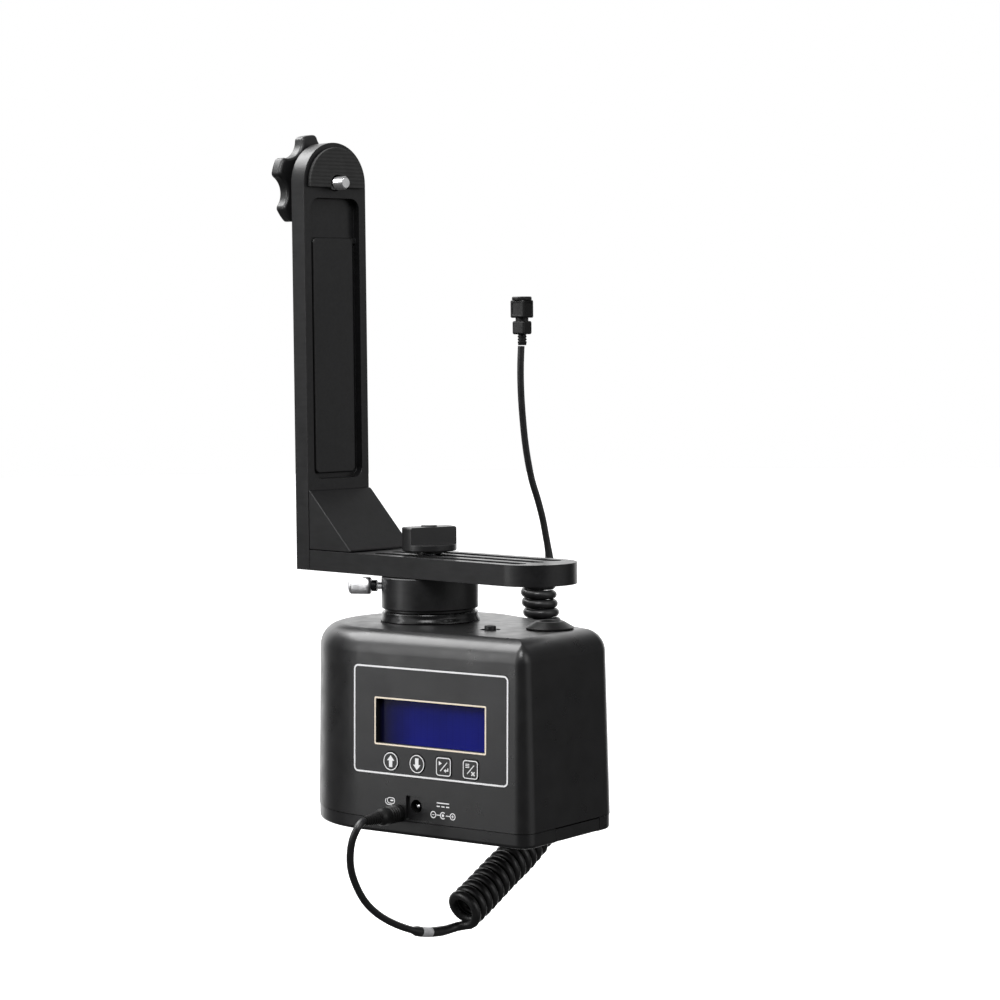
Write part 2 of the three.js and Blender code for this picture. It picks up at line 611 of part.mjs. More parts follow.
function cameraPlug() {
  const [x, y] = CAMERA_PLUG;
  const body = join(
    at(turned([[0, 214.4], [1.9, 214.4], [2.3, 219.5], [0, 219.5]], 12), x, y),
    box(x - 3.4, x + 3.4, y - 3.4, y + 3.4, 219.3, 225.6),
    at(rod(3, 225.4, 227.2, 12), x, y),
    box(x - 3.95, x + 3.95, y - 3.95, y + 3.95, 227, 235.2),
    at(rod(4.6, 235, 236.8), x, y),
  );
  return mesh("camera_plug", body, rubberBlack);
}

function baseCord() {
  return [
    mesh("cord_lead_lower", along(LOWER_ROUTE, LEAD_R, 8, 30), cordBlack),
    mesh("cord_coil", along(COIL_ROUTE, COIL_R, 12, 26), cordBlack),
  ];
}

// ---- assembly ----
const panHead = new THREE.Group();
const yawed = new THREE.Group();
yawed.rotation.z = BRACKET_YAW;

panHead.add(housingCover(), bottomTray(), batteryDoor(), standSocket(), frontPanel());
panHead.add(...postScrews(), ...displayAndBoards(), ...keys(), ...jacks(), ...topPieces(), ...batteries());
panHead.add(releasePlug(), ...baseCord());
panHead.add(mesh("cord_lead_upper", along(UPPER_ROUTE, 1.6, 8, 20), cordBlack), cameraPlug());
yawed.add(...motorAndChassis(), drivePinion(), ...shaftPieces(), panHub(), ...lockScrew(), ...clampKnob());
yawed.add(slidePlate(), cornerGusset(), uprightArm(), ...bracketScrews(), cameraPad(), ...starKnob());
panHead.add(yawed);

export default panHead;
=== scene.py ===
"""Motorised pan head: the finished looks of the housing, hub, bracket, hand knobs and release cord, built
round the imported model. Sizes in the panel are in metres; pieces are modelled in millimetres and made small
when they are finished, because fine bevels are easier to judge that way."""

import math

import bmesh
import bpy
from mathutils import Matrix, Vector


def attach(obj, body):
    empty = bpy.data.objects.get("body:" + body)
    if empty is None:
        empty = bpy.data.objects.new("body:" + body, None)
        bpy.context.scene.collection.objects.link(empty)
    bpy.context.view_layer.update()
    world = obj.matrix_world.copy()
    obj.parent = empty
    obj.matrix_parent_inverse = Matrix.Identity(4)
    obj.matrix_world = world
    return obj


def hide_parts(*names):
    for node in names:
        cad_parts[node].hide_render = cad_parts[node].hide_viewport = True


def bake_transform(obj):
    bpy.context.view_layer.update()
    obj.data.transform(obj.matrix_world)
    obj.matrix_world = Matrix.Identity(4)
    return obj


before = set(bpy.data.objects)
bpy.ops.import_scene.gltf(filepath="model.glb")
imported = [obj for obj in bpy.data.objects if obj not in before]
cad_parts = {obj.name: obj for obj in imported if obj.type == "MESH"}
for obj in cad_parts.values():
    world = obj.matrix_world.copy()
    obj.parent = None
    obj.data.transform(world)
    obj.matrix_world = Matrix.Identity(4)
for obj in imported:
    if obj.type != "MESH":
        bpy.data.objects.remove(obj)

bl_info = {
    "name": "Motorised pan head",
    "version": (1, 0, 0),
    "blender": (4, 5, 0),
    "location": "3D View > Sidebar > Pan head",
    "description": "Builds the pan head's housing, bracket, knobs and release cord on its packed frame",
    "category": "Add Mesh",
}

MM = 0.001
TURN = 2 * math.pi
QUARTER_STEPS = [math.pi / 2 * step / 6 for step in range(1, 7)]

# Plan of the housing, in millimetres: a round end about the pan axis, a flat front, a flat right end and a
# slanted back, all drafted towards the top.
ROUND_R = 51.9
RIGHT_X = 91.3
FRONT_CORNER_R = 7
BACK_CORNER_R = 11
BACK_NORMAL = math.radians(65)
HOUSING_H = 89.2
SEAM_Z = 6.6
LEAN = math.radians(1.23)
DRAFT = math.tan(LEAN)
FRONT_FACE = Matrix.Translation((0, -ROUND_R, 0)) @ Matrix.Rotation(-LEAN, 4, "X")

# Front face, measured along it.
PANEL = (38.5, 50.1, 85.3, 48.1)
SCREEN = (38.5, 49.7, 60, 19.6)
KEY_Z = 32.2
KEY_X = [17.1 + 14.66 * i for i in range(4)]
KEY_R = 4.2
POWER_JACK = (30.1, 13.1)
RELEASE_JACK = (21.2, 9.5)
PANEL_CORNER = 2.5
PRINT_LIFT = 0.04

# Underside and top.
POSTS = [(-28, -24), (-20, 36), (46, -38), (40, 22)]
DOOR = (50, 95, -30.1, 3.3)
BOSS = (69.3, -2.8)
BUTTON = (47.8, -18.2)

# Bracket frame: X along the plate, turned about the pan axis.
BRACKET = Matrix.Rotation(math.radians(-9.2), 4, "Z")
ARM_IN = -62.4
POCKET_DEPTH = 4
KNOB_Z = 291
LOCK_Z = 104.8
LOCK_TURN = math.radians(214)
KNOB_X = -82
ACROSS = Matrix.Rotation(math.radians(90), 4, "Y")
LOCK = BRACKET @ Matrix.Rotation(LOCK_TURN, 4, "Z") @ Matrix.Translation((0, 0, LOCK_Z)) @ ACROSS
KNOB = BRACKET @ Matrix.Translation((KNOB_X, 0, KNOB_Z)) @ ACROSS
STAR_LOBES = 6
STAR_PHASE = math.radians(9.5)

# Routes of the release cord: the lead under the housing, the axis of the coil and the lead to the camera.
LOWER_ROUTE = [
    (21.2, -75.5, 9.6), (21.7, -78.5, 9), (21.3, -80.6, 6.8), (19.3, -81.4, 1.9), (16.6, -79.7, -5.2),
    (14.3, -76.4, -12.4), (12.6, -71.5, -19.6), (11, -63.9, -28.2), (10.4, -56.3, -34.5),
    (10.3, -47.1, -40.2), (10.7, -35.5, -45.6), (11.4, -24.6, -49.4), (11.7, -14.2, -51.3),
    (12.2, -6.4, -51.8), (14.0, -0.9, -51.1),
]
COIL_ROUTE = [
    (17.5, -1.2, -43.6), (17.4, 11, -38.6), (17.2, 28.6, -30.6), (17, 46, -23.2), (18.2, 59.5, -13.5),
    (21.6, 66.4, 2), (25.2, 67.2, 22), (26, 66, 45), (22.6, 63.4, 68), (18.8, 60.6, 90), (17.9, 59.2, 108.6),
]
UPPER_ROUTE = [
    (22.8, 62, 117), (22.6, 60.2, 124.5), (22.4, 58.2, 132.3), (22, 54.8, 141.9),
    (21.3, 51.1, 151.4), (21.3, 48, 160.9), (21.4, 45.7, 170.3), (21.9, 43.6, 179.7), (22.6, 41.6, 189.1),
    (23.2, 40.3, 198.3), (23.8, 39.6, 206), (24.4, 39.4, 214),
]
CAMERA_PLUG = (24.9, 39.5)
TUBE_SIDES = 14

# The camera that looks at the head, in metres and in millimetres of focal length.
CAMERA_PLACE = (0.776118, -0.99624, 0.221168)
CAMERA_LENS = 99.627
SENSOR_WIDTH = 36


# ---- sizes and colours that a user may change ----
def length(name, description, millimetres):
    return bpy.props.FloatProperty(
        name=name, description=description, default=millimetres * MM, min=0, unit="LENGTH", precision=5
    )


def colour(name, description, value):
    return bpy.props.FloatVectorProperty(
        name=name, description=description, default=value, size=3, min=0, max=1, subtype="COLOR"
    )


class HousingSizes(bpy.types.PropertyGroup):
    wall: length("Wall", "Thickness of the moulded cover", 2.6)
    edge: length("Top edge", "Radius between the walls and the top", 10)
    arris: length("Arris", "Small rounding of every cut edge of the moulding", 0.22)
    frame_line: length("Frame line", "Width of the printed line round the front panel", 0.77)
    window_line: length("Window line", "Width of the printed line round the window", 0.7)
    key_line: length("Key line", "Width of the printed line round each key", 0.42)


class BracketSizes(bpy.types.PropertyGroup):
    plate_edge: length("Plate edge", "Rounding of the slide plate", 0.9)
    arm_edge: length("Arm edge", "Rounding of the upright arm", 0.7)
    gusset_edge: length("Gusset edge", "Rounding of the corner gusset", 0.55)
    panel_edge: length("Panel edge", "Rounding of the raised field in the arm's pocket", 0.8)
    knob_edge: length("Knob edge", "Rounding of the star knob's rim", 1.5)
    clamp_edge: length("Clamp edge", "Rounding of the clamp knob", 0.8)
    thread_pitch: length("Thread pitch", "Pitch of the camera screw", 1.27)
    knurls: bpy.props.IntProperty(
        name="Knurls", description="Number of ridges round the lock screw's head", default=60, min=12, max=90
    )


class CordSizes(bpy.types.PropertyGroup):
    wire: length("Coiled wire", "Diameter of the wire in the coil", 4.3)
    lower: length("Lower lead", "Diameter of the lead from the housing", 3.3)
    upper: length("Upper lead", "Diameter of the lead to the camera", 3.2)
    sleeve: length("Sleeve", "Diameter of the sleeve before the coil", 4.7)
    coil: length("Coil", "Outside diameter of the coil at its lower end", 18.8)
    coil_top: length("Coil top", "Outside diameter of the coil at its upper end", 16.8)
    turns: bpy.props.IntProperty(
        name="Turns", description="Whole turns in the coil", default=40, min=20, max=60
    )
    steps: bpy.props.IntProperty(
        name="Points per turn", description="Points along each turn of the coil", default=18, min=12, max=32
    )


class Finishes(bpy.types.PropertyGroup):
    moulding: colour("Moulding", "Black plastic of the housing", (0.0085, 0.0085, 0.009))
    panel: colour("Panel", "Front panel inside the printed frame", (0.012, 0.012, 0.013))
    anodised: colour("Anodised", "Black anodised bracket and hub", (0.008, 0.008, 0.0085))
    knob: colour("Knob", "Black plastic of the hand knobs", (0.008, 0.008, 0.0085))
    rubber: colour("Rubber", "Soft black rubber", (0.014, 0.014, 0.014))
    cord: colour("Cord", "Sheath of the release cord", (0.012, 0.012, 0.0125))
    print_white: colour("Print", "Light print on the front", (0.82, 0.82, 0.83))
    print_cream: colour("Window print", "Print round the window", (0.86, 0.76, 0.62))
    screen: colour("Screen", "Lit ground of the display", (0.004, 0.007, 0.15))
    nickel: colour("Nickel", "Bright plated screws", (0.84, 0.84, 0.85))
    steel: colour("Steel", "Machined steel", (0.42, 0.43, 0.45))


class StudioSizes(bpy.types.PropertyGroup):
    floor_z: bpy.props.FloatProperty(
        name="Floor height", description="Height of the floor under the mounted head", default=-0.3,
        unit="LENGTH",
    )
    floor_radius: length("Floor radius", "Radius of the pale floor", 9000)
    azimuth: bpy.props.FloatProperty(
        name="Camera azimuth", description="Direction of the camera round the pan axis",
        default=math.radians(36.4448), subtype="ANGLE",
    )
    elevation: bpy.props.FloatProperty(
        name="Camera elevation", description="Height of the line of sight above level",
        default=math.radians(3.4994), subtype="ANGLE",
    )
    roll: bpy.props.FloatProperty(
        name="Camera roll", description="Turn about the line of sight",
        default=math.radians(-0.5758), subtype="ANGLE",
    )
    overhead: bpy.props.FloatProperty(
        name="Overhead light", description="Power of the overhead softbox in watts", default=30, min=0
    )
    side: bpy.props.FloatProperty(
        name="Side light", description="Power of the long side light in watts", default=5, min=0
    )
    front: bpy.props.FloatProperty(
        name="Front light", description="Power of the small high front softbox in watts", default=9, min=0
    )


# ---- handling objects ----
def leave_edit():
    if bpy.context.object and bpy.context.object.mode != "OBJECT":
        bpy.ops.object.mode_set(mode="OBJECT")


def only(obj):
    """Makes one object active and the only one selected."""
    leave_edit()
    bpy.ops.object.select_all(action="DESELECT")
    obj.select_set(True)
    bpy.context.view_layer.objects.active = obj


def edit(obj, kind="VERT"):
    """Opens one object in edit mode with nothing selected."""
    only(obj)
    bpy.ops.object.mode_set(mode="EDIT")
    bpy.ops.mesh.select_mode(type=kind)
    bpy.ops.mesh.select_all(action="DESELECT")


def select_vertices(obj, test):
    """In edit mode, selects the vertices that pass a test, with the edges and faces between them."""
    bpy.ops.mesh.select_mode(type="VERT")
    work = bmesh.from_edit_mesh(obj.data)
    for vertex in work.verts:
        vertex.select_set(bool(test(vertex)))
    work.select_flush_mode()
    bmesh.update_edit_mesh(obj.data)


def select_edges(obj, test):
    bpy.ops.mesh.select_mode(type="EDGE")
    work = bmesh.from_edit_mesh(obj.data)
    for edge in work.edges:
        edge.select_set(bool(test(edge)))
    work.select_flush_mode()
    bmesh.update_edit_mesh(obj.data)


def place_vertices(obj, points):
    """In edit mode, puts the vertices at the given points, in order."""
    work = bmesh.from_edit_mesh(obj.data)
    work.verts.ensure_lookup_table()
    for vertex, point in zip(work.verts, points):
        vertex.co = point
    work.normal_update()
    bmesh.update_edit_mesh(obj.data)


def apply(obj, kind, **settings):
    """Adds a modifier and applies it."""
    only(obj)
    modifier = obj.modifiers.new(kind.lower(), kind)
    for key, value in settings.items():
        setattr(modifier, key, value)
    bpy.ops.object.modifier_apply(modifier=modifier.name)


def settle(obj, matrix):
    """Moves a piece and applies its place to its mesh."""
    only(obj)
    obj.matrix_world = matrix
    bpy.ops.object.transform_apply(location=True, rotation=True, scale=True)
    return obj


def join(name, objects):
    only(objects[0])
    for obj in objects:
        obj.select_set(True)
    if len(objects) > 1:
        bpy.ops.object.join()
    made = bpy.context.object
    made.name = name
    return made


def cut(obj, *cutters):
    """Cuts each cutter out of a piece and removes the cutter."""
    for cutter in cutters:
        apply(obj, "BOOLEAN", operation="DIFFERENCE", solver="EXACT", object=cutter)
        bpy.data.objects.remove(cutter, do_unlink=True)
    return obj


def finished(obj, name, body, material, stands_for=(), smooth=32, weighted=True):
    """Makes a piece small, smooths its shading, and gives it its material and its body."""
    only(obj)
    obj.name = name
    obj.data.name = name
    obj.scale = (MM, MM, MM)
    bpy.ops.object.transform_apply(location=True, rotation=True, scale=True)
    bpy.ops.object.shade_smooth_by_angle(angle=math.radians(smooth))
    if weighted:
        apply(obj, "WEIGHTED_NORMAL", keep_sharp=True, weight=60)
    obj.data.materials.clear()
    obj.data.materials.append(material)
    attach(obj, body)
    if stands_for:
        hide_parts(*stands_for)
    return obj


# ---- shapes made by hand ----
def block(x0, x1, y0, y1, z0, z1):
    leave_edit()
    bpy.ops.object.select_all(action="DESELECT")
    middle = ((x0 + x1) / 2, (y0 + y1) / 2, (z0 + z1) / 2)
    bpy.ops.mesh.primitive_cube_add(size=1, location=middle, scale=(x1 - x0, y1 - y0, z1 - z0))
    made = bpy.context.object
    bpy.ops.object.transform_apply(location=True, rotation=True, scale=True)
    return made


def peg(radius, z0, z1, x=0, y=0, sides=48):
    leave_edit()
    bpy.ops.object.select_all(action="DESELECT")
    bpy.ops.mesh.primitive_cylinder_add(
        vertices=sides, radius=radius, depth=z1 - z0, location=(x, y, (z0 + z1) / 2)
    )
    made = bpy.context.object
    bpy.ops.object.transform_apply(location=True, rotation=True, scale=True)
    return made


def face_peg(radius, x, z, depth_0, depth_1, sides=48):
    """A cylinder square to the front face, from one depth behind it to another."""
    made = peg(radius, depth_0, depth_1, sides=sides)
    inward = Matrix.Rotation(math.radians(-90), 4, "X")
    return settle(made, FRONT_FACE @ Matrix.Translation((x, 0, z)) @ inward)


def face_block(x, z, w, h, corner, depth_0, depth_1, segments=10):
    """A block square to the front face whose four edges along its depth are rounded."""
    made = block(x - w / 2, x + w / 2, depth_0, depth_1, z - h / 2, z + h / 2)
    edit(made, "EDGE")
    select_edges(made, lambda e: abs(e.verts[0].co.y - e.verts[1].co.y) > 0.5 * (depth_1 - depth_0))
    bpy.ops.mesh.bevel(offset=corner, offset_type="OFFSET", segments=segments, affect="EDGES")
    leave_edit()
    return settle(made, FRONT_FACE)


def key_holes(depth_0, depth_1):
    """Cutters for the four key holes: two round and two square with rounded corners."""
    r = KEY_R + 0.3
    holes = [face_peg(r, x, KEY_Z, depth_0, depth_1, 48) for x in KEY_X[:2]]
    return holes + [face_block(x, KEY_Z, 2 * r, 2 * r, 0.35 * r, depth_0, depth_1, 6) for x in KEY_X[2:]]


def ring_stack(name, rings):
    """A closed body through rings of equally many points: a circle for each, bridged in pairs and capped."""
    count = len(rings[0])
    leave_edit()
    bpy.ops.object.select_all(action="DESELECT")
    bpy.ops.mesh.primitive_circle_add(vertices=count, radius=1)
    made = bpy.context.object
    made.name = name
    bpy.ops.object.mode_set(mode="EDIT")
    for _ in rings[1:]:
        bpy.ops.mesh.primitive_circle_add(vertices=count, radius=1)
    place_vertices(made, [point for ring in rings for point in ring])
    for lower in range(len(rings) - 1):
        select_vertices(made, lambda v: lower * count <= v.index < (lower + 2) * count)
        bpy.ops.mesh.bridge_edge_loops()
    for ring in (0, len(rings) - 1):
        select_vertices(made, lambda v: ring * count <= v.index < (ring + 1) * count)
        bpy.ops.mesh.edge_face_add()
    bpy.ops.mesh.select_all(action="SELECT")
    bpy.ops.mesh.normals_make_consistent(inside=False)
    leave_edit()
    return made


def lathe(name, profile, steps=72):
    """A solid of revolution about Z. Its profile, pairs of radius and height, closes on itself or on the axis."""
    leave_edit()
    bpy.ops.object.select_all(action="DESELECT")
    bpy.ops.mesh.primitive_circle_add(vertices=len(profile), radius=1)
    made = bpy.context.object
    made.name = name
    bpy.ops.object.mode_set(mode="EDIT")
    place_vertices(made, [(r, 0, z) for r, z in profile])
    select_edges(made, lambda e: all(abs(v.co.x) < 1e-6 for v in e.verts))
    bpy.ops.mesh.delete(type="EDGE")
    bpy.ops.mesh.select_all(action="SELECT")
    bpy.ops.mesh.spin(steps=steps, angle=TURN, center=(0, 0, 0), axis=(0, 0, 1))
    bpy.ops.mesh.select_all(action="SELECT")
    bpy.ops.mesh.remove_doubles(threshold=0.0005)
    bpy.ops.mesh.normals_make_consistent(inside=False)
    leave_edit()
    return made


def soften(obj, width, segments=2, angle=40):
    """Rounds every edge sharper than an angle."""
    apply(
        obj, "BEVEL", width=width, segments=segments, limit_method="ANGLE", angle_limit=math.radians(angle),
        use_clamp_overlap=True, miter_outer="MITER_ARC", loop_slide=True,
    )
    return obj


def cad_copy(node):
    """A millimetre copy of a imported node, its loose triangles merged back into flat faces."""
    made = bpy.data.objects.new(node + "_copy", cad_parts[node].data.copy())
    bpy.context.scene.collection.objects.link(made)
    made.scale = (1 / MM, 1 / MM, 1 / MM)
    only(made)
    bpy.ops.object.transform_apply(location=True, rotation=True, scale=True)
    if made.data.has_custom_normals:
        bpy.ops.mesh.customdata_custom_splitnormals_clear()
    edit(made)
    bpy.ops.mesh.select_all(action="SELECT")
    bpy.ops.mesh.remove_doubles(threshold=0.003)
    bpy.ops.mesh.dissolve_limited(angle_limit=math.radians(0.7))
    leave_edit()
    return made


def arc(cx, cy, r, start, end, steps):
    """Points of an arc about (cx, cy), both ends among them."""
    angles = [start + (end - start) * i / steps for i in range(steps + 1)]
    return [(cx + r * math.cos(a), cy + r * math.sin(a)) for a in angles]


def housing_ring(inset, z):
    """The housing's plan at one height, set in from its widest outline."""
    r = ROUND_R - inset
    x = RIGHT_X - inset
    front = max(FRONT_CORNER_R - inset, 0.5)
    back = max(BACK_CORNER_R - inset, 0.5)
    back_x = x - back
    back_y = (r - back - math.cos(BACK_NORMAL) * back_x) / math.sin(BACK_NORMAL)
    plan = arc(0, 0, r, BACK_NORMAL, 1.5 * math.pi, 110)
    plan += arc(x - front, front - r, front, 1.5 * math.pi, TURN, 16)
    plan += arc(back_x, back_y, back, 0, BACK_NORMAL, 14)
    return [(px, py, z) for px, py in plan]


def housing_body(name, z0, set_in, edge):
    """The drafted body with its rounded top edge, all of it set in from the outside."""
    top = HOUSING_H - set_in
    radius = edge - set_in
    rings = [housing_ring(set_in + DRAFT * z0, z0)]
    rings.append(housing_ring(set_in + DRAFT * (top - radius), top - radius))
    for step in range(1, 13):
        a = step / 12 * math.pi / 2
        z = top - radius + radius * math.sin(a)
        rings.append(housing_ring(set_in + DRAFT * z + radius * (1 - math.cos(a)), z))
    return ring_stack(name, rings)


def rounded_outline(x, z, w, h, corner, segments=8):
    """Points of a rounded rectangle, drawn across and up from its lower right corner."""
    points = []
    for cx, cz, start in (
        (x + w / 2 - corner, z - h / 2 + corner, -90), (x + w / 2 - corner, z + h / 2 - corner, 0),
        (x - w / 2 + corner, z + h / 2 - corner, 90), (x - w / 2 + corner, z - h / 2 + corner, 180),
    ):
        points += arc(cx, cz, corner, math.radians(start), math.radians(start + 90), segments)
    return points


def round_outline(x, z, r, count=40):
    """Points of a circle on the front face."""
    return arc(x, z, r, 0, TURN * (count - 1) / count, count - 1)


def stroke(x0, z0, x1, z1, width):
    """A straight printed stroke as four points."""
    along = Vector((x1 - x0, z1 - z0)).normalized()
    side = Vector((-along.y, along.x)) * width / 2
    corners = [(x0 - side.x, z0 - side.y), (x1 - side.x, z1 - side.y)]
    corners += [(x1 + side.x, z1 + side.y), (x0 + side.x, z0 + side.y)]
    return corners


def printed(outline, line=0.0, depth=0.0):
    """A thin printed mark on the front face. With a line width it is only the border of its outline."""
    leave_edit()
    bpy.ops.object.select_all(action="DESELECT")
    bpy.ops.mesh.primitive_circle_add(vertices=len(outline), radius=1, fill_type="NGON")
    made = bpy.context.object
    bpy.ops.object.mode_set(mode="EDIT")
    place_vertices(made, [(x, depth, z) for x, z in outline])
    if line:
        bpy.ops.mesh.select_mode(type="FACE")
        bpy.ops.mesh.select_all(action="SELECT")
        bpy.ops.mesh.inset(thickness=line, depth=0)
        bpy.ops.mesh.delete(type="FACE")
    bpy.ops.mesh.select_all(action="SELECT")
    bpy.ops.mesh.normals_make_consistent(inside=False)
    leave_edit()
    if made.data.polygons[0].normal.y > 0:
        edit(made)
        bpy.ops.mesh.select_all(action="SELECT")
        bpy.ops.mesh.flip_normals()
        leave_edit()
    apply(made, "SOLIDIFY", thickness=PRINT_LIFT, offset=1)
    return settle(made, FRONT_FACE)


# ---- materials ----
def new_material(name, base, roughness, metallic=0.0, **sockets):
    material = bpy.data.materials.new(name)
    material.use_nodes = True
    shader = material.node_tree.nodes["Principled BSDF"]
    shader.inputs["Base Color"].default_value = (*base, 1)
    shader.inputs["Roughness"].default_value = roughness
    shader.inputs["Metallic"].default_value = metallic
    for key, value in sockets.items():
        shader.inputs[key.replace("_", " ")].default_value = value
    return material


class Pattern:
    """The nodes of one material: patterns in millimetres on the object's coordinates or on its UV map."""

    def __init__(self, material, source="Object"):
        self.tree = material.node_tree
        self.shader = self.tree.nodes["Principled BSDF"]
        self.source = source
        self.coordinates = self.tree.nodes.new("ShaderNodeTexCoord")
        self.bump = None

    def link(self, out_socket, in_socket):
        self.tree.links.new(out_socket, in_socket)

    def mapped(self, grain, stretch=(1, 1, 1), turn=(0, 0, 0), middle=(0, 0, 0)):
        """Coordinates in which one unit is one grain, stretched along the axes."""
        node = self.tree.nodes.new("ShaderNodeMapping")
        unit = 1 / (grain * MM) if self.source == "Object" else 1 / grain
        node.inputs["Scale"].default_value = [unit / s for s in stretch]
        node.inputs["Rotation"].default_value = turn
        node.inputs["Location"].default_value = middle
        self.link(self.coordinates.outputs[self.source], node.inputs["Vector"])
        return node.outputs["Vector"]

    def noise(self, grain, detail=3.0, rough=0.55, **place):
        node = self.tree.nodes.new("ShaderNodeTexNoise")
        node.inputs["Scale"].default_value = 1
        node.inputs["Detail"].default_value = detail
        node.inputs["Roughness"].default_value = rough
        self.link(self.mapped(grain, **place), node.inputs["Vector"])
        return node.outputs["Fac"]

    def waves(self, grain, direction="X", distortion=0.0, **place):
        node = self.tree.nodes.new("ShaderNodeTexWave")
        node.wave_type = "BANDS"
        node.bands_direction = direction
        node.inputs["Scale"].default_value = 1 / math.pi / 1.5915
        node.inputs["Distortion"].default_value = distortion
        self.link(self.mapped(grain, **place), node.inputs["Vector"])
        return node.outputs["Fac"]

    def ranged(self, value, low, high, from_low=0.3, from_high=0.7):
        node = self.tree.nodes.new("ShaderNodeMapRange")
        node.inputs["From Min"].default_value = from_low
        node.inputs["From Max"].default_value = from_high
        node.inputs["To Min"].default_value = low
        node.inputs["To Max"].default_value = high
        self.link(value, node.inputs["Value"])
        return node.outputs["Result"]

    def roughness(self, value, low, high):
        self.link(self.ranged(value, low, high), self.shader.inputs["Roughness"])

    def colours(self, value, stops):
        """Base colour through a ramp of (place, colour) stops."""
        node = self.tree.nodes.new("ShaderNodeValToRGB")
        ramp = node.color_ramp
        while len(ramp.elements) < len(stops):
            ramp.elements.new(0.5)
        for element, (place, value_rgb) in zip(ramp.elements, stops):
            element.position = place
            element.color = (*value_rgb, 1)
        self.link(value, node.inputs["Fac"])
        self.link(node.outputs["Color"], self.shader.inputs["Base Color"])

    def relief(self, value, depth, strength=1.0):
        """Raises the surface by a pattern, in millimetres; a second call adds to the first."""
        node = self.tree.nodes.new("ShaderNodeBump")
        node.inputs["Strength"].default_value = strength
        node.inputs["Distance"].default_value = depth * MM
        self.link(value, node.inputs["Height"])
        if self.bump:
            self.link(self.bump.outputs["Normal"], node.inputs["Normal"])
        self.link(node.outputs["Normal"], self.shader.inputs["Normal"])
        self.bump = node


def scaled(rgb, share):
    return tuple(min(1.0, c * share) for c in rgb)


def moulded(name, rgb, roughness=0.4, grain=0.5, depth=0.008, mottle=12, **sockets):
    """Fine-grained moulded plastic: spark-eroded texture, faint flow mottling and handling shine."""
    material = new_material(name, rgb, roughness, **sockets)
    look = Pattern(material)
    broad = look.noise(mottle, detail=4)
    look.colours(broad, [(0.3, scaled(rgb, 0.78)), (0.72, scaled(rgb, 1.25))])
    shine = look.noise(mottle * 0.6, detail=5, middle=(3.1, 1.7, 0.4))
    look.roughness(shine, roughness - 0.045, roughness + 0.05)
    look.relief(look.noise(grain, detail=2), depth, 0.5)
    look.relief(look.noise(grain * 2.6, detail=2, middle=(5.3, 2.1, 7.7)), depth * 1.4, 0.45)
    return material


def anodised(name, rgb, roughness=0.33, metallic=0.2):
    """Bead-blasted and black anodised aluminium, with faint rolling streaks under the blast."""
    material = new_material(name, rgb, roughness, metallic)
    look = Pattern(material)
    streaks = look.noise(1.4, detail=4, stretch=(14, 1, 1), turn=(0, 0, math.radians(9.2)))
    look.colours(streaks, [(0.28, scaled(rgb, 0.75)), (0.75, scaled(rgb, 1.5))])
    look.roughness(look.noise(7, detail=5), roughness - 0.04, roughness + 0.07)
    look.relief(look.noise(0.28, detail=2), 0.009, 0.5)
    look.relief(streaks, 0.004, 0.4)
    return material


def plated(name, rgb, roughness, grain=0.35, stretch=(1, 1, 12)):
    """Bright metal with fine turning marks and handling smears."""
    material = new_material(name, rgb, roughness, 1.0)
    look = Pattern(material)
    marks = look.noise(grain, detail=3, stretch=stretch)
    smears = look.noise(4.5, detail=5)
    look.colours(smears, [(0.3, scaled(rgb, 0.84)), (0.7, scaled(rgb, 1.08))])
    look.roughness(smears, roughness - 0.05, roughness + 0.1)
    look.relief(marks, 0.006, 0.4)
    return material


def rubbery(name, rgb, roughness=0.62, ribs=None):
    """Soft matt rubber with a powdery grain, and moulded ribs when their pitch is given."""
    material = new_material(name, rgb, roughness)
    look = Pattern(material)
    dust = look.noise(3.5, detail=6, rough=0.65)
    look.colours(dust, [(0.35, scaled(rgb, 0.8)), (0.78, scaled(rgb, 1.9))])
    look.roughness(dust, roughness - 0.06, roughness + 0.1)
    look.relief(look.noise(0.22, detail=2), 0.015, 0.6)
    if ribs:
        look.relief(look.waves(ribs, "Z"), 0.12, 0.7)
    return material


def ink(name, rgb):
    """Screen-printed ink: slightly uneven in thickness and gloss."""
    material = new_material(name, rgb, 0.5)
    look = Pattern(material)
    cover = look.noise(0.6, detail=4)
    look.colours(cover, [(0.25, scaled(rgb, 0.82)), (0.6, rgb)])
    look.roughness(cover, 0.42, 0.6)
    look.relief(cover, 0.01, 0.4)
    return material


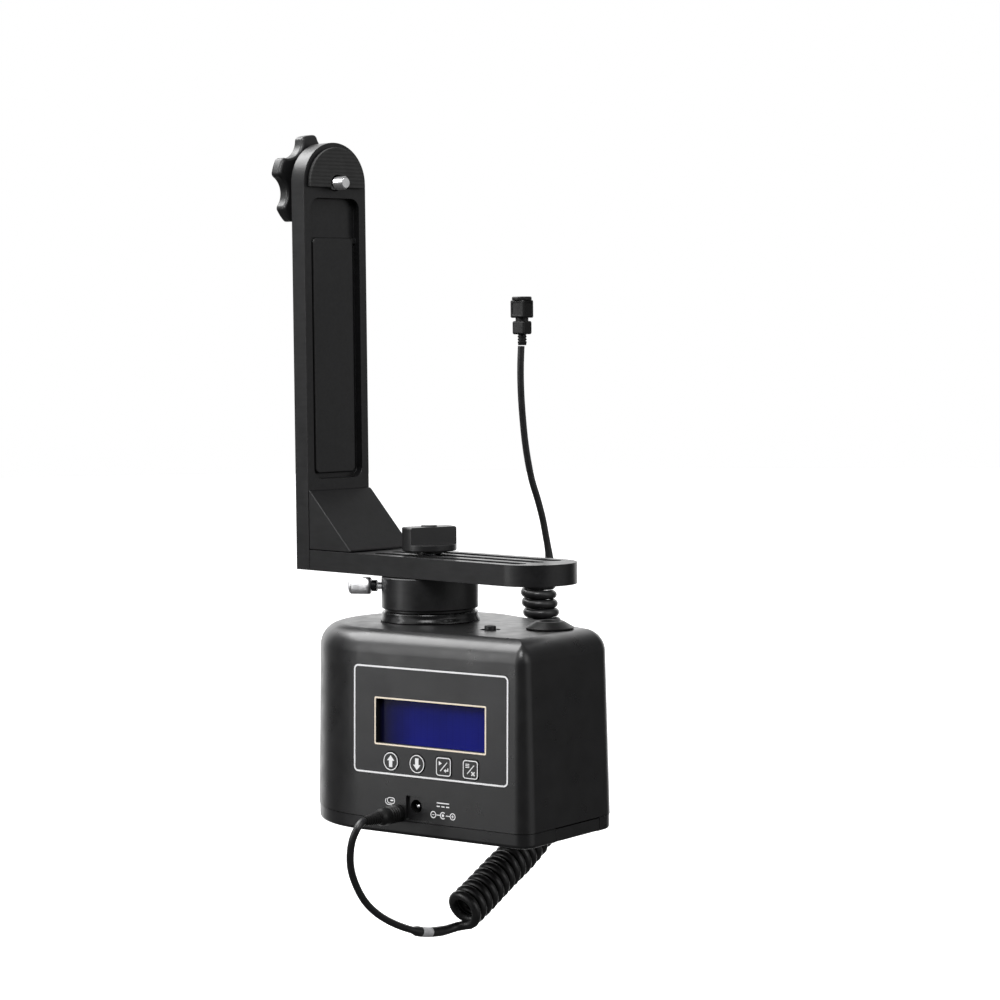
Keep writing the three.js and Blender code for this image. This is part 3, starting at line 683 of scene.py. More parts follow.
def lit_screen(name, rgb):
    """Blue display: a soft backlight with a painted shadow of the window's left wall that darkens it towards the
    left, faint character cells, and clear glass.
    """
    material = new_material(
        name, rgb, 0.2, Specular_IOR_Level=0.06, Coat_Weight=0.06, Coat_Roughness=0.05
    )
    look = Pattern(material)
    tree = material.node_tree
    split = tree.nodes.new("ShaderNodeSeparateXYZ")
    look.link(look.coordinates.outputs["Object"], split.inputs["Vector"])
    # painted shadow: the window's left wall shades the screen, so its colour darkens towards the left edge
    painted_bezel_shadow = look.ranged(split.outputs["X"], 0.0, 1.0, 9 * MM, 27 * MM)
    cloud = look.noise(16, detail=2)
    uneven = look.ranged(cloud, 0.78, 1.0)
    brick = tree.nodes.new("ShaderNodeTexBrick")
    brick.offset = 0
    brick.inputs["Scale"].default_value = 1
    brick.inputs["Brick Width"].default_value = 1
    brick.inputs["Row Height"].default_value = 1
    brick.inputs["Mortar Size"].default_value = 0.05
    brick.inputs["Color1"].default_value = (1, 1, 1, 1)
    brick.inputs["Color2"].default_value = (1, 1, 1, 1)
    brick.inputs["Mortar"].default_value = (0.86, 0.86, 0.86, 1)
    turned = look.mapped(1, stretch=(3.5, 7.2, 1), turn=(math.radians(-90), 0, 0))
    look.link(turned, brick.inputs["Vector"])
    product = tree.nodes.new("ShaderNodeMath")
    product.operation = "MULTIPLY"
    look.link(painted_bezel_shadow, product.inputs[0])
    look.link(uneven, product.inputs[1])
    celled = tree.nodes.new("ShaderNodeMath")
    celled.operation = "MULTIPLY"
    look.link(product.outputs[0], celled.inputs[0])
    look.link(brick.outputs["Color"], celled.inputs[1])
    look.colours(celled.outputs[0], [(0.0, (0.004, 0.004, 0.012)), (0.45, scaled(rgb, 0.5)), (1.0, rgb)])
    look.roughness(cloud, 0.16, 0.24)
    return material


def cord_sheath(name, rgb, band=False):
    """Polyurethane sheath: semi-gloss, with drawing lines along it and a slightly wavy skin."""
    base = (0.62, 0.62, 0.63) if band else rgb
    material = new_material(name, base, 0.36)
    look = Pattern(material, "UV")
    lines = look.noise(1.0, detail=3, stretch=(40, 0.9, 1))
    skin = look.noise(3.0, detail=4, stretch=(1, 1, 1))
    look.colours(skin, [(0.3, scaled(base, 0.75)), (0.72, scaled(base, 1.35))])
    look.roughness(skin, 0.3, 0.44)
    look.relief(lines, 0.02, 0.35)
    look.relief(skin, 0.03, 0.4)
    return material


def circuit(name):
    """Solder mask over copper traces."""
    material = new_material(name, (0.012, 0.11, 0.05), 0.35)
    look = Pattern(material)
    traces = look.waves(1.6, "DIAGONAL", distortion=3.0)
    look.colours(traces, [(0.42, (0.008, 0.075, 0.035)), (0.55, (0.02, 0.16, 0.07))])
    look.roughness(look.noise(2), 0.28, 0.45)
    look.relief(traces, 0.03, 0.5)
    return material


LOOKS = {}


def make_looks(finishes):
    LOOKS["moulding"] = moulded("moulded_black", tuple(finishes.moulding), 0.31)
    LOOKS["panel"] = moulded("panel_black", tuple(finishes.panel), 0.4, grain=0.32, depth=0.008, mottle=20)
    LOOKS["key"] = moulded("key_black", tuple(finishes.knob), 0.34, grain=0.4, depth=0.006, mottle=5)
    LOOKS["knob"] = moulded("knob_black", tuple(finishes.knob), 0.36, grain=0.6, depth=0.012, mottle=9)
    LOOKS["anodised"] = anodised("anodised_black", tuple(finishes.anodised))
    LOOKS["collar"] = anodised("collar_black", scaled(finishes.anodised, 0.9), 0.2, 0.3)
    LOOKS["nickel"] = plated("bright_nickel", tuple(finishes.nickel), 0.3)
    LOOKS["knurled"] = plated("knurled_nickel", tuple(finishes.nickel), 0.42)
    LOOKS["steel"] = plated("machined_steel", tuple(finishes.steel), 0.3, stretch=(1, 1, 3))
    LOOKS["brass"] = plated("gear_brass", (0.5, 0.33, 0.11), 0.32)
    LOOKS["nylon"] = moulded("gear_nylon", (0.62, 0.6, 0.52), 0.45, mottle=6)
    LOOKS["rubber"] = rubbery("soft_rubber", tuple(finishes.rubber))
    LOOKS["plug"] = moulded(
        "plug_black", scaled(finishes.rubber, 0.45), 0.42, grain=0.4, depth=0.01, mottle=5,
        Specular_IOR_Level=0.3,
    )
    LOOKS["pad"] = rubbery("ribbed_rubber", tuple(finishes.rubber), 0.7, ribs=1.1)
    LOOKS["print"] = ink("light_print", tuple(finishes.print_white))
    LOOKS["window_print"] = ink("cream_print", tuple(finishes.print_cream))
    LOOKS["screen"] = lit_screen("lit_blue_screen", tuple(finishes.screen))
    LOOKS["cord"] = cord_sheath("cord_sheath", tuple(finishes.cord))
    LOOKS["band"] = cord_sheath("cord_band", tuple(finishes.cord), band=True)
    LOOKS["board"] = circuit("board_green")
    LOOKS["cell"] = plated("cell_wrap", (0.2, 0.21, 0.23), 0.35, grain=1.5)


def dress(node, look):
    """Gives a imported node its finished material; its shape is right as it is."""
    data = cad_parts[node].data
    data.materials.clear()
    data.materials.append(LOOKS[look])


# ---- the release cord's line ----
def smooth_line(route, spacing):
    """A centripetal Catmull-Rom curve through a route, as points about one spacing apart."""
    points = [Vector(p) for p in route]
    points = [2 * points[0] - points[1], *points, 2 * points[-1] - points[-2]]
    line = []
    for p0, p1, p2, p3 in zip(points, points[1:], points[2:], points[3:]):
        t1 = (p1 - p0).length ** 0.5
        t2 = t1 + (p2 - p1).length ** 0.5
        t3 = t2 + (p3 - p2).length ** 0.5
        pieces = max(2, round((p2 - p1).length / spacing))
        for step in range(pieces):
            t = t1 + (t2 - t1) * step / pieces
            a1 = p0.lerp(p1, t / t1)
            a2 = p1.lerp(p2, (t - t1) / (t2 - t1))
            a3 = p2.lerp(p3, (t - t2) / (t3 - t2))
            b1 = a1.lerp(a2, t / t2)
            b2 = a2.lerp(a3, (t - t1) / (t3 - t1))
            line.append(b1.lerp(b2, (t - t1) / (t2 - t1)))
    line.append(points[-2])
    return line


def along_line(line):
    """Distance from the start to each point of a line."""
    distance = [0.0]
    for a, b in zip(line, line[1:]):
        distance.append(distance[-1] + (b - a).length)
    return distance


def carried_frames(line, first_side):
    """Tangent and side at each point, the side carried along without twist."""
    tangents = []
    for i in range(len(line)):
        ahead = line[min(i + 1, len(line) - 1)]
        behind = line[max(i - 1, 0)]
        tangents.append((ahead - behind).normalized())
    side = (first_side - first_side.dot(tangents[0]) * tangents[0]).normalized()
    frames = [(tangents[0], side)]
    for before, after in zip(tangents, tangents[1:]):
        side = before.rotation_difference(after) @ side
        side = (side - side.dot(after) * after).normalized()
        frames.append((after, side))
    return frames


def ease(share):
    share = min(1.0, max(0.0, share))
    return share * share * (3 - 2 * share)


def coil_line(axis_route, radii, turns, steps, last_angle):
    """Points of a coil wound along an axis, a little narrower and closer at its far end. It starts at the
    bottom of its first turn, where the lower lead runs into it, and eases out towards the upper lead."""
    axis = smooth_line(axis_route, 1.0)
    distance = along_line(axis)
    frames = carried_frames(axis, Vector((0, 0, -1)))
    whole = distance[-1]
    end_side = frames[-1][1]
    end_other = end_side.cross(frames[-1][0])
    wanted = Vector((math.cos(last_angle), math.sin(last_angle), 0))
    final = math.atan2(wanted.dot(end_other), wanted.dot(end_side)) % TURN
    sweep = turns * TURN + final
    ease_out = 7.0
    closing = 0.1
    count = (turns + 1) * steps + 12
    travel = []
    total = 0.0
    for i in range(2001):
        s = whole * i / 2000
        rate = ease((whole + 0.3 - s) / ease_out) * (1 + closing * s / whole)
        total += rate
        travel.append(total)
    points = []
    for i in range(count + 1):
        share = i / count
        target = share * total
        low = next(k for k, value in enumerate(travel) if value >= target - 1e-9)
        before = travel[low - 1] if low else 0.0
        part = (target - before) / (travel[low] - before) if travel[low] > before else 0.0
        s = whole * max(0.0, low - 1 + part) / 2000
        angle = sweep * share
        k = min(len(axis) - 2, max(0, next(j for j, d in enumerate(distance) if d >= s - 1e-9) - 1))
        f = (s - distance[k]) / (distance[k + 1] - distance[k])
        centre = axis[k].lerp(axis[k + 1], f)
        tangent = frames[k][0].lerp(frames[k + 1][0], f).normalized()
        side = frames[k][1].lerp(frames[k + 1][1], f).normalized()
        other = side.cross(tangent)
        radius = radii[0] + (radii[1] - radii[0]) * s / whole
        points.append(centre + radius * (math.cos(angle) * side + math.sin(angle) * other))
    return points


def tube_mesh(name, line, radii, sides=TUBE_SIDES):
    """A closed round tube along a line, with a UV map that counts wire diameters along and round it."""
    frames = carried_frames(line, Vector((0.3, 0.2, 1)))
    work = bmesh.new()
    loops = []
    for point, radius, (tangent, side) in zip(line, radii, frames):
        other = tangent.cross(side)
        loops.append([
            work.verts.new(point + radius * (math.cos(a) * side + math.sin(a) * other))
            for a in (TURN * i / sides for i in range(sides))
        ])
    distance = along_line(line)
    uv = work.loops.layers.uv.new("along")
    for k, (near, far) in enumerate(zip(loops, loops[1:])):
        for i in range(sides):
            j = (i + 1) % sides
            face = work.faces.new((near[i], near[j], far[j], far[i]))
            corners = ((distance[k], i), (distance[k], i + 1), (distance[k + 1], i + 1), (distance[k + 1], i))
            for corner, (u, v) in zip(face.loops, corners):
                corner[uv].uv = (u, v * 10 / sides)
    work.faces.new(list(reversed(loops[0])))
    work.faces.new(loops[-1])
    bmesh.ops.recalc_face_normals(work, faces=work.faces)
    data = bpy.data.meshes.new(name)
    work.to_mesh(data)
    work.free()
    made = bpy.data.objects.new(name, data)
    bpy.context.scene.collection.objects.link(made)
    return made


# ---- operators, one for each piece or group of like pieces ----
class PANHEAD_OT_finishes(bpy.types.Operator):
    """Make the materials of every piece from the colours in the panel"""

    bl_idname = "pan_head.finishes"
    bl_label = "Finishes"

    def execute(self, context):
        make_looks(context.scene.pan_head_finishes)
        return {"FINISHED"}


class PANHEAD_OT_studio(bpy.types.Operator):
    """Make the pale floor, the soft lights and the camera"""

    bl_idname = "pan_head.studio"
    bl_label = "Studio"

    def execute(self, context):
        sizes = context.scene.pan_head_studio
        az, el, roll = sizes.azimuth, sizes.elevation, sizes.roll
        forward = -Vector((math.sin(az) * math.cos(el), -math.cos(az) * math.cos(el), math.sin(el)))
        right = forward.cross(Vector((0, 0, 1))).normalized()
        up = right.cross(forward)
        turned_right = math.cos(roll) * right + math.sin(roll) * up
        turned_up = -math.sin(roll) * right + math.cos(roll) * up
        camera_data = bpy.data.cameras.new("camera")
        camera_data.sensor_width = SENSOR_WIDTH
        camera_data.lens = CAMERA_LENS
        camera_data.clip_start = 0.05
        camera_data.clip_end = 60
        camera = bpy.data.objects.new("camera", camera_data)
        turn = Matrix((turned_right, turned_up, -forward)).transposed().to_4x4()
        camera.matrix_world = Matrix.Translation(CAMERA_PLACE) @ turn
        context.scene.collection.objects.link(camera)
        context.scene.camera = camera
        self.floor(sizes)
        self.lights(context, sizes)
        self.surroundings(context)
        context.scene.view_settings.view_transform = "Standard"
        return {"FINISHED"}

    def floor(self, sizes):
        leave_edit()
        bpy.ops.object.select_all(action="DESELECT")
        bpy.ops.mesh.primitive_circle_add(vertices=96, radius=sizes.floor_radius, fill_type="NGON")
        floor = bpy.context.object
        floor.name = "floor"
        edit(floor, "FACE")
        bpy.ops.mesh.select_all(action="SELECT")
        bpy.ops.mesh.inset(thickness=sizes.floor_radius * 0.2)
        leave_edit()
        settle(floor, Matrix.Translation((0, 0, sizes.floor_z)))
        pale = new_material("pale_floor", (0.93, 0.93, 0.93), 0.85, Emission_Strength=0.8)
        pale.node_tree.nodes["Principled BSDF"].inputs["Emission Color"].default_value = (1, 1, 1, 1)
        look = Pattern(pale)
        look.colours(look.noise(90, detail=3), [(0.3, (0.92, 0.92, 0.92)), (0.7, (0.95, 0.95, 0.95))])
        floor.data.materials.append(pale)
        floor.visible_diffuse = False
        floor.visible_glossy = False

    def softbox(self, context, name, watts, place, aim, width, height):
        data = bpy.data.lights.new(name, "AREA")
        data.energy = watts
        data.shape = "RECTANGLE"
        data.size = width
        data.size_y = height
        lamp = bpy.data.objects.new(name, data)
        lamp.location = place
        lamp.rotation_euler = (Vector(aim) - Vector(place)).to_track_quat("-Z", "Y").to_euler()
        context.scene.collection.objects.link(lamp)

    def lights(self, context, sizes):
        rows = (
            ("overhead_softbox", sizes.overhead, (-0.75, -0.15, 1.25), (0, 0, 0.05), 1.05, 1.05),
            ("side_softbox", sizes.side, (-1.0, -1.3, 0.5), (0, 0, 0.1), 0.25, 1.2),
            ("front_softbox", sizes.front, (0.4, -0.75, 0.95), (0, 0, 0.08), 0.5, 0.5),
        )
        for row in rows:
            self.softbox(context, *row)

    def surroundings(self, context):
        """A dim room with a white backdrop, a broad window to the left and a narrow one to the right, so that
        black surfaces mirror bright and dark parts. The room itself looks white."""
        world = bpy.data.worlds.new("studio_room")
        context.scene.world = world
        world.use_nodes = True
        tree = world.node_tree
        background = tree.nodes["Background"]
        background.inputs["Color"].default_value = (1, 1, 1, 1)
        where = tree.nodes.new("ShaderNodeTexCoord")
        windows = (
            ((-0.48, -0.80, 0.40), 0.74, 0.95, 1.08),
            ((-0.60, 0.80, 0.12), 0.65, 0.88, 1.4),
            ((0.92, -0.12, 0.42), 0.9, 0.985, 1.5),
            ((0.95, 0.26, 0.14), 0.8, 0.97, 0.5),
            ((0.0, 0.0, 1.0), 0.3, 0.95, 0.25),
        )
        total = None
        for direction, edge, full, strength in windows:
            facing = tree.nodes.new("ShaderNodeVectorMath")
            facing.operation = "DOT_PRODUCT"
            facing.inputs[1].default_value = Vector(direction).normalized()
            tree.links.new(where.outputs["Generated"], facing.inputs[0])
            window = tree.nodes.new("ShaderNodeMapRange")
            window.interpolation_type = "SMOOTHSTEP"
            window.inputs["From Min"].default_value = edge
            window.inputs["From Max"].default_value = full
            window.inputs["To Min"].default_value = 0.0
            window.inputs["To Max"].default_value = strength
            tree.links.new(facing.outputs["Value"], window.inputs["Value"])
            adding = tree.nodes.new("ShaderNodeMath")
            adding.inputs[1].default_value = 0.1
            tree.links.new(window.outputs["Result"], adding.inputs[0])
            if total:
                tree.links.new(total.outputs["Value"], adding.inputs[1])
            total = adding
        path = tree.nodes.new("ShaderNodeLightPath")
        seen = tree.nodes.new("ShaderNodeMix")
        seen.data_type = "FLOAT"
        tree.links.new(path.outputs["Is Camera Ray"], seen.inputs["Factor"])
        tree.links.new(total.outputs["Value"], seen.inputs["A"])
        seen.inputs["B"].default_value = 1.0
        tree.links.new(seen.outputs["Result"], background.inputs["Strength"])


class PANHEAD_OT_release_cord(bpy.types.Operator):
    """Make the release cord with its coil, its banded sleeve and the plugs on its ends"""

    bl_idname = "pan_head.release_cord"
    bl_label = "Release cord"

    def execute(self, context):
        sizes = context.scene.pan_head_cord
        coil_radii = [(outside - sizes.wire) / MM / 2 for outside in (sizes.coil, sizes.coil_top)]
        coil = coil_line(COIL_ROUTE, coil_radii, sizes.turns, sizes.steps, math.radians(38.7))
        lower = smooth_line([*LOWER_ROUTE, tuple(coil[0])], 3.2)[:-1]
        upper = smooth_line([tuple(coil[-1]), *UPPER_ROUTE], 4)[1:]
        line = lower + coil + upper
        distance = along_line(line)
        lower_end = distance[len(lower)]
        coil_end = distance[len(lower) + len(coil) - 1]
        sleeve = (lower_end - 34, lower_end - 13)
        widths = (sizes.wire, sizes.lower, sizes.upper, sizes.sleeve)
        wire, thin, upper_r, thick = (width / MM / 2 for width in widths)
        radii = []
        for d in distance:
            if d < lower_end:
                r = thin + (wire - thin) * ease((d - sleeve[0]) / 1.5)
                r += (thick - r) * ease((d - sleeve[0]) / 1.5) * ease((sleeve[1] + 4 - d) / 4)
            else:
                r = wire + (upper_r - wire) * ease((d - coil_end - 2) / 9)
            radii.append(r)
        cord = tube_mesh("release_cord", line, radii)
        cord.data.materials.append(LOOKS["cord"])
        cord.data.materials.append(LOOKS["band"])
        band = (sleeve[0] + 3.5, sleeve[1] - 8.5)
        for face in cord.data.polygons:
            step = face.vertices[0] // TUBE_SIDES
            if step < len(lower) and band[0] < distance[step] < band[1]:
                face.material_index = 1
        only(cord)
        cord.scale = (MM, MM, MM)
        bpy.ops.object.transform_apply(location=True, rotation=True, scale=True)
        bpy.ops.object.shade_smooth_by_angle(angle=math.radians(60))
        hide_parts("cord_lead_lower", "cord_coil", "cord_lead_upper")
        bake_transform(cord)
        release = self.release_plug()
        camera_end = self.camera_plug()
        return {"FINISHED"}

    def release_plug(self):
        """Round jack body with finger grooves and a ribbed strain relief."""
        profile = [(0, -13), (0.7, -13), (1.25, -12.2), (1.25, -9), (1.05, -8.7), (1.25, -8.4), (1.25, 0.4)]
        profile += [(3.7, 0.4), (3.9, 0.8)]
        for i in range(4):
            z = 3 + i * 1.5
            profile += [(3.9, z), (3.62, z + 0.25), (3.62, z + 0.75), (3.9, z + 1)]
        profile += [(3.9, 11.6), (3.75, 12.1), (3.2, 13.4), (2.95, 14)]
        for i in range(6):
            z = 14.4 + i * 1.45
            r = 2.95 - i * 0.14
            profile += [(r, z), (r - 0.04, z + 0.7), (r - 0.45, z + 0.8), (r - 0.45, z + 1.15)]
        profile += [(2.1, 23.1), (2.1, 23.4), (0, 23.4)]
        made = lathe("release_plug_body", profile, 48)
        x, z = RELEASE_JACK
        aim = Matrix.Translation((x, -ROUND_R + DRAFT * z, z)) @ Matrix.Rotation(math.radians(90), 4, "X")
        settle(made, aim)
        return finished(made, "release_plug_body", "base", LOOKS["plug"], ["release_plug"], smooth=35)

    def camera_plug(self):
        """Square-bodied plug for the camera, with its strain relief, waist and collar."""
        x, y = CAMERA_PLUG
        relief = [(0, 214.4), (1.85, 214.4), (2.0, 215.3)]
        for i in range(3):
            z = 215.5 + i * 1.3
            relief += [(2.1, z), (2.12, z + 0.6), (1.8, z + 0.7), (1.8, z + 1.1)]
        relief += [(2.3, 219.4), (2.3, 220), (0, 220)]
        tail = lathe("tail", relief, 40)
        settle(tail, Matrix.Translation((x, y, 0)))
        lower = block(x - 3.4, x + 3.4, y - 3.4, y + 3.4, 219.4, 225.6)
        soften(lower, 0.9, 4)
        waist = peg(3, 225.2, 227.4, x, y, 40)
        upper = block(x - 3.95, x + 3.95, y - 3.95, y + 3.95, 227, 235.2)
        edit(upper, "FACE")
        self.groove_sides(upper)
        leave_edit()
        soften(upper, 0.7, 4, angle=60)
        rim = [(0, 234.8), (4.1, 234.8), (4.6, 235.4), (4.6, 236.4), (4.2, 236.8), (0, 236.8)]
        ring = lathe("ring", rim, 48)
        settle(ring, Matrix.Translation((x, y, 0)))
        made = join("camera_plug_body", [tail, lower, waist, upper, ring])
        return finished(made, "camera_plug_body", "rotor", LOOKS["plug"], ["camera_plug"], smooth=35)

    def groove_sides(self, body):
        """Presses a finger panel into each upright side of the plug."""
        work = bmesh.from_edit_mesh(body.data)
        for face in work.faces:
            face.select_set(abs(face.normal.z) < 0.1)
        bmesh.update_edit_mesh(body.data)
        bpy.ops.mesh.inset(thickness=1.1, depth=0, use_individual=True)
        bpy.ops.mesh.inset(thickness=0.25, depth=-0.3, use_individual=True)


class PANHEAD_OT_housing_cover(bpy.types.Operator):
    """Make the moulded cover with its rounded top edge, panel recess, window, key holes and sockets"""

    bl_idname = "pan_head.housing_cover"
    bl_label = "Housing cover"

    def execute(self, context):
        sizes = context.scene.pan_head_housing
        edge, wall = sizes.edge / MM, sizes.wall / MM
        cover = housing_body("housing_shell", SEAM_Z, 0, edge)
        cut(cover, housing_body("inside", SEAM_Z - 1, wall, edge))
        px, pz, pw, ph = PANEL
        sx, sz, sw, sh = SCREEN
        cutters = [
            peg(6, 78, 95),
            peg(4.6, HOUSING_H - 0.8, 95, *BUTTON),
            peg(2.9, 80, 95, *BUTTON),
            face_block(px, pz, pw + 0.6, ph + 0.6, PANEL_CORNER + 0.3, -1, 0.7),
            face_block(sx, sz, sw, sh, 0.6, -1, 4, 4),
            face_block(POWER_JACK[0], 12.5, 9.2, 10.8, 0.8, -1, 1.5, 4),
            face_peg(3, *POWER_JACK, -1, 5),
            face_peg(1.9, *RELEASE_JACK, -1, 5, 32),
        ]
        cut(cover, *cutters, *key_holes(-1, 4))
        soften(cover, sizes.arris / MM, 2, angle=42)
        finished(cover, "housing_shell", "base", LOOKS["moulding"], ["housing_cover"])
        return {"FINISHED"}


class PANHEAD_OT_underside(bpy.types.Operator):
    """Make the bottom tray, battery door, stand socket and the screws that hold the tray"""

    bl_idname = "pan_head.underside"
    bl_label = "Underside"

    def execute(self, context):
        self.tray()
        self.door()
        self.socket()
        self.screws()
        return {"FINISHED"}

    def tray(self):
        levels = ((1.6, 0), (1.1, 0.15), (0.7, 0.5), (0.45, 1.1), (0.4, 1.7), (0.4, 6.3))
        tray = ring_stack("tray", [housing_ring(inset, z) for inset, z in levels])
        cut(
            tray,
            ring_stack("inside", [housing_ring(3, 3), housing_ring(3, 7.3)]),
            peg(9.3, -1, 9, sides=72),
            block(*DOOR, -1, 8),
            *[peg(1.9, -1, 4, x, y, 24) for x, y in POSTS],
            *[peg(3.2, -1, 1.6, x, y, 36) for x, y in POSTS],
        )
        soften(tray, 0.2, 2, angle=42)
        finished(tray, "tray", "base", LOOKS["moulding"], ["bottom_tray"])

    def door(self):
        door = cad_copy("battery_door")
        soften(door, 0.25, 2)
        finished(door, "battery_cover", "door", LOOKS["moulding"], ["battery_door"])

    def socket(self):
        """Threaded bush: the grooves of its thread stand 1.27 mm apart."""
        profile = [(5.2, 0.1), (8.6, 0.1), (9, 0.5), (9, 14), (0, 14), (0, 12), (4.6, 12)]
        for i in range(8):
            z = 11.4 - i * 1.27
            profile += [(4.6, z), (5.15, z - 0.55), (5.15, z - 0.7)]
        profile += [(4.6, 0.9), (4.6, 0.7)]
        socket = lathe("stand_bush", profile, 64)
        finished(socket, "stand_bush", "base", LOOKS["steel"], ["stand_socket"])

    def screws(self):
        """One pan-head screw with a cross recess, copied to its four places."""
        profile = [(0, 0.4), (2.2, 0.4), (2.8, 0.8), (2.8, 1.3), (1.5, 1.3), (1.5, 24), (0, 24)]
        head = lathe("tray_screw", profile, 40)
        cut(head, block(-1.6, 1.6, -0.35, 0.35, -1, 0.95), block(-0.35, 0.35, -1.6, 1.6, -1, 0.95))
        for i, (x, y) in enumerate(POSTS):
            screw = head if i == 3 else bpy.data.objects.new("tray_screw", head.data.copy())
            if i < 3:
                bpy.context.scene.collection.objects.link(screw)
            settle(screw, Matrix.Translation((x, y, 0)) @ Matrix.Rotation(math.radians(23 * i), 4, "Z"))
            finished(
                screw, f"tray_screw_{i + 1}", "base", LOOKS["steel"], [f"housing_screw_{i + 1}"]
            )


class PANHEAD_OT_front_prints(bpy.types.Operator):
    """Make the printed marks of the front face and finish the front panel"""

    bl_idname = "pan_head.front_prints"
    bl_label = "Front panel and prints"

    def execute(self, context):
        sizes = context.scene.pan_head_housing
        px, pz, pw, ph = PANEL
        panel = face_block(px, pz, pw, ph, PANEL_CORNER, 0, 0.4)
        cut(panel, face_block(*SCREEN, 0.6, -1, 1, 4), *key_holes(-1, 1))
        soften(panel, 0.1, 2)
        finished(panel, "key_panel", "base", LOOKS["panel"], ["front_panel"])
        frame_line = rounded_outline(px, pz, pw - 0.2, ph - 0.2, PANEL_CORNER - 0.1)
        marks = [printed(frame_line, sizes.frame_line / MM)]
        marks += self.polarity()
        marks += self.supply_sign()
        marks += self.release_sign()
        joined = join("front_marks", marks)
        finished(joined, "front_marks", "base", LOOKS["print"], weighted=False)
        sx, sz, sw, sh = SCREEN
        line = sizes.window_line / MM
        window = printed(rounded_outline(sx, sz, sw + 0.2 + 2 * line, sh + 0.2 + 2 * line, 0.75, 4), line)
        finished(window, "window_line", "base", LOOKS["window_print"], weighted=False)
        return {"FINISHED"}

    def polarity(self):
        """Two ringed poles on a line with an open ring between them."""
        x, z = 46, 10.8
        parts = [printed(round_outline(x + side * 5.3, z, 1.55, 28), 0.38) for side in (-1, 1)]
        opening = math.radians(48)
        outer = arc(x, z, 1.6, opening, TURN - opening, 24)
        inner = arc(x, z, 1.15, TURN - opening, opening, 24)
        parts.append(printed(outer + inner))
        parts.append(printed(round_outline(x, z, 0.62, 18)))
        for side in (-1, 1):
            parts.append(printed(stroke(x + side * 1.62, z, x + side * 3.7, z, 0.36)))
            parts.append(printed(stroke(x + side * 5.3 - 0.62, z, x + side * 5.3 + 0.62, z, 0.3)))
        parts.append(printed(stroke(x + 5.3, z + 0.17, x + 5.3, z + 0.65, 0.3)))
        parts.append(printed(stroke(x + 5.3, z - 0.65, x + 5.3, z - 0.17, 0.3)))
        return parts

    def supply_sign(self):
        """The general sign for direct current: a solid bar over three short ones."""
        x, z = 46, 15.4
        parts = [printed(stroke(x - 3.4, z + 0.75, x + 3.4, z + 0.75, 0.5))]
        for i in (-1, 0, 1):
            parts.append(printed(stroke(x + i * 2.55 - 0.85, z - 0.75, x + i * 2.55 + 0.85, z - 0.75, 0.5)))
        return parts

    def release_sign(self):
        """An outlined hand-held release with its short lead."""
        x, z = 17.1, 14.8
        parts = [printed(rounded_outline(x, z, 4.4, 2.8, 1.35, 8), 0.34)]
        parts.append(printed(rounded_outline(x + 0.5, z + 0.05, 1.7, 0.62, 0.3, 6)))
        tail = arc(x - 1.5, z - 0.3, 1.75, math.radians(140), math.radians(262), 12)
        tail += arc(x - 1.5, z - 0.3, 1.4, math.radians(262), math.radians(140), 12)
        parts.append(printed(tail))
        parts.append(printed(stroke(x - 1.75, z - 1.87, x + 0.7, z - 1.87, 0.35)))
        return parts


class PANHEAD_OT_keys(bpy.types.Operator):
    """Make the four keys with their printed rings and signs"""

    bl_idname = "pan_head.keys"
    bl_label = "Keys"

    def execute(self, context):
        sizes = context.scene.pan_head_housing
        line = sizes.key_line / MM
        rows = (
            ("up", self.arrow(0, 1)), ("down", self.arrow(1, -1)),
            ("start", self.start_sign(2)), ("menu", self.menu_sign(3)),
        )
        for i, (name, signs) in enumerate(rows):
            cap = cad_copy("key_" + name)
            soften(cap, 0.22, 3)
            finished(cap, name + "_cap", "button_" + name, LOOKS["key"], ["key_" + name])
            if i < 2:
                outline = round_outline(KEY_X[i], KEY_Z, KEY_R - 0.18, 48)
            else:
                side = 2 * KEY_R - 0.36
                outline = rounded_outline(KEY_X[i], KEY_Z, side, side, 1.4, 8)
            marks = [printed(outline, line, -0.3)]
            marks += [printed(sign, 0, -0.3) for sign in signs]
            joined = join(name + "_sign", marks)
            finished(joined, joined.name, "button_" + name, LOOKS["print"], weighted=False)
        return {"FINISHED"}

    def arrow(self, key, way):
        """A broad arrow as one outline, pointing up or down."""
        x = KEY_X[key]
        half = [(0, 2.7), (2.05, 0.35), (0.95, 0.35), (0.95, -2.5)]
        outline = [(x - dx, KEY_Z + way * dz) for dx, dz in half] + [
            (x + dx, KEY_Z + way * dz) for dx, dz in reversed(half[1:])
        ]
        return [outline if way > 0 else list(reversed(outline))]

    def slash(self, x):
        """The slanted stroke that parts the two signs of a square key."""
        return stroke(x - 1.7, KEY_Z - 1.9, x + 2.0, KEY_Z + 2.0, 0.42)

    def start_sign(self, key):
        """A play triangle over a return arrow, with a slanted stroke between them."""
        x = KEY_X[key]
        play = [(x - 2.5, KEY_Z + 2.4), (x - 2.5, KEY_Z + 0.5), (x - 0.8, KEY_Z + 1.45)]
        head = [(x + 0.2, KEY_Z - 1.6), (x + 1.3, KEY_Z - 2.5), (x + 1.3, KEY_Z - 0.7)]
        return [
            play,
            self.slash(x),
            head,
            stroke(x + 1.2, KEY_Z - 1.6, x + 2.7, KEY_Z - 1.6, 0.5),
            stroke(x + 2.45, KEY_Z - 1.6, x + 2.45, KEY_Z - 0.5, 0.5),
        ]

    def menu_sign(self, key):
        """Three list bars over a cross, with a slanted stroke between them."""
        x = KEY_X[key]
        bars = [stroke(x - 2.6, KEY_Z + z, x - 0.6, KEY_Z + z, 0.34) for z in (2.3, 1.6, 0.9)]
        return bars + [
            self.slash(x),
            stroke(x + 0.6, KEY_Z - 2.5, x + 2.3, KEY_Z - 0.9, 0.55),
            stroke(x + 0.6, KEY_Z - 0.9, x + 2.3, KEY_Z - 2.5, 0.55),
        ]


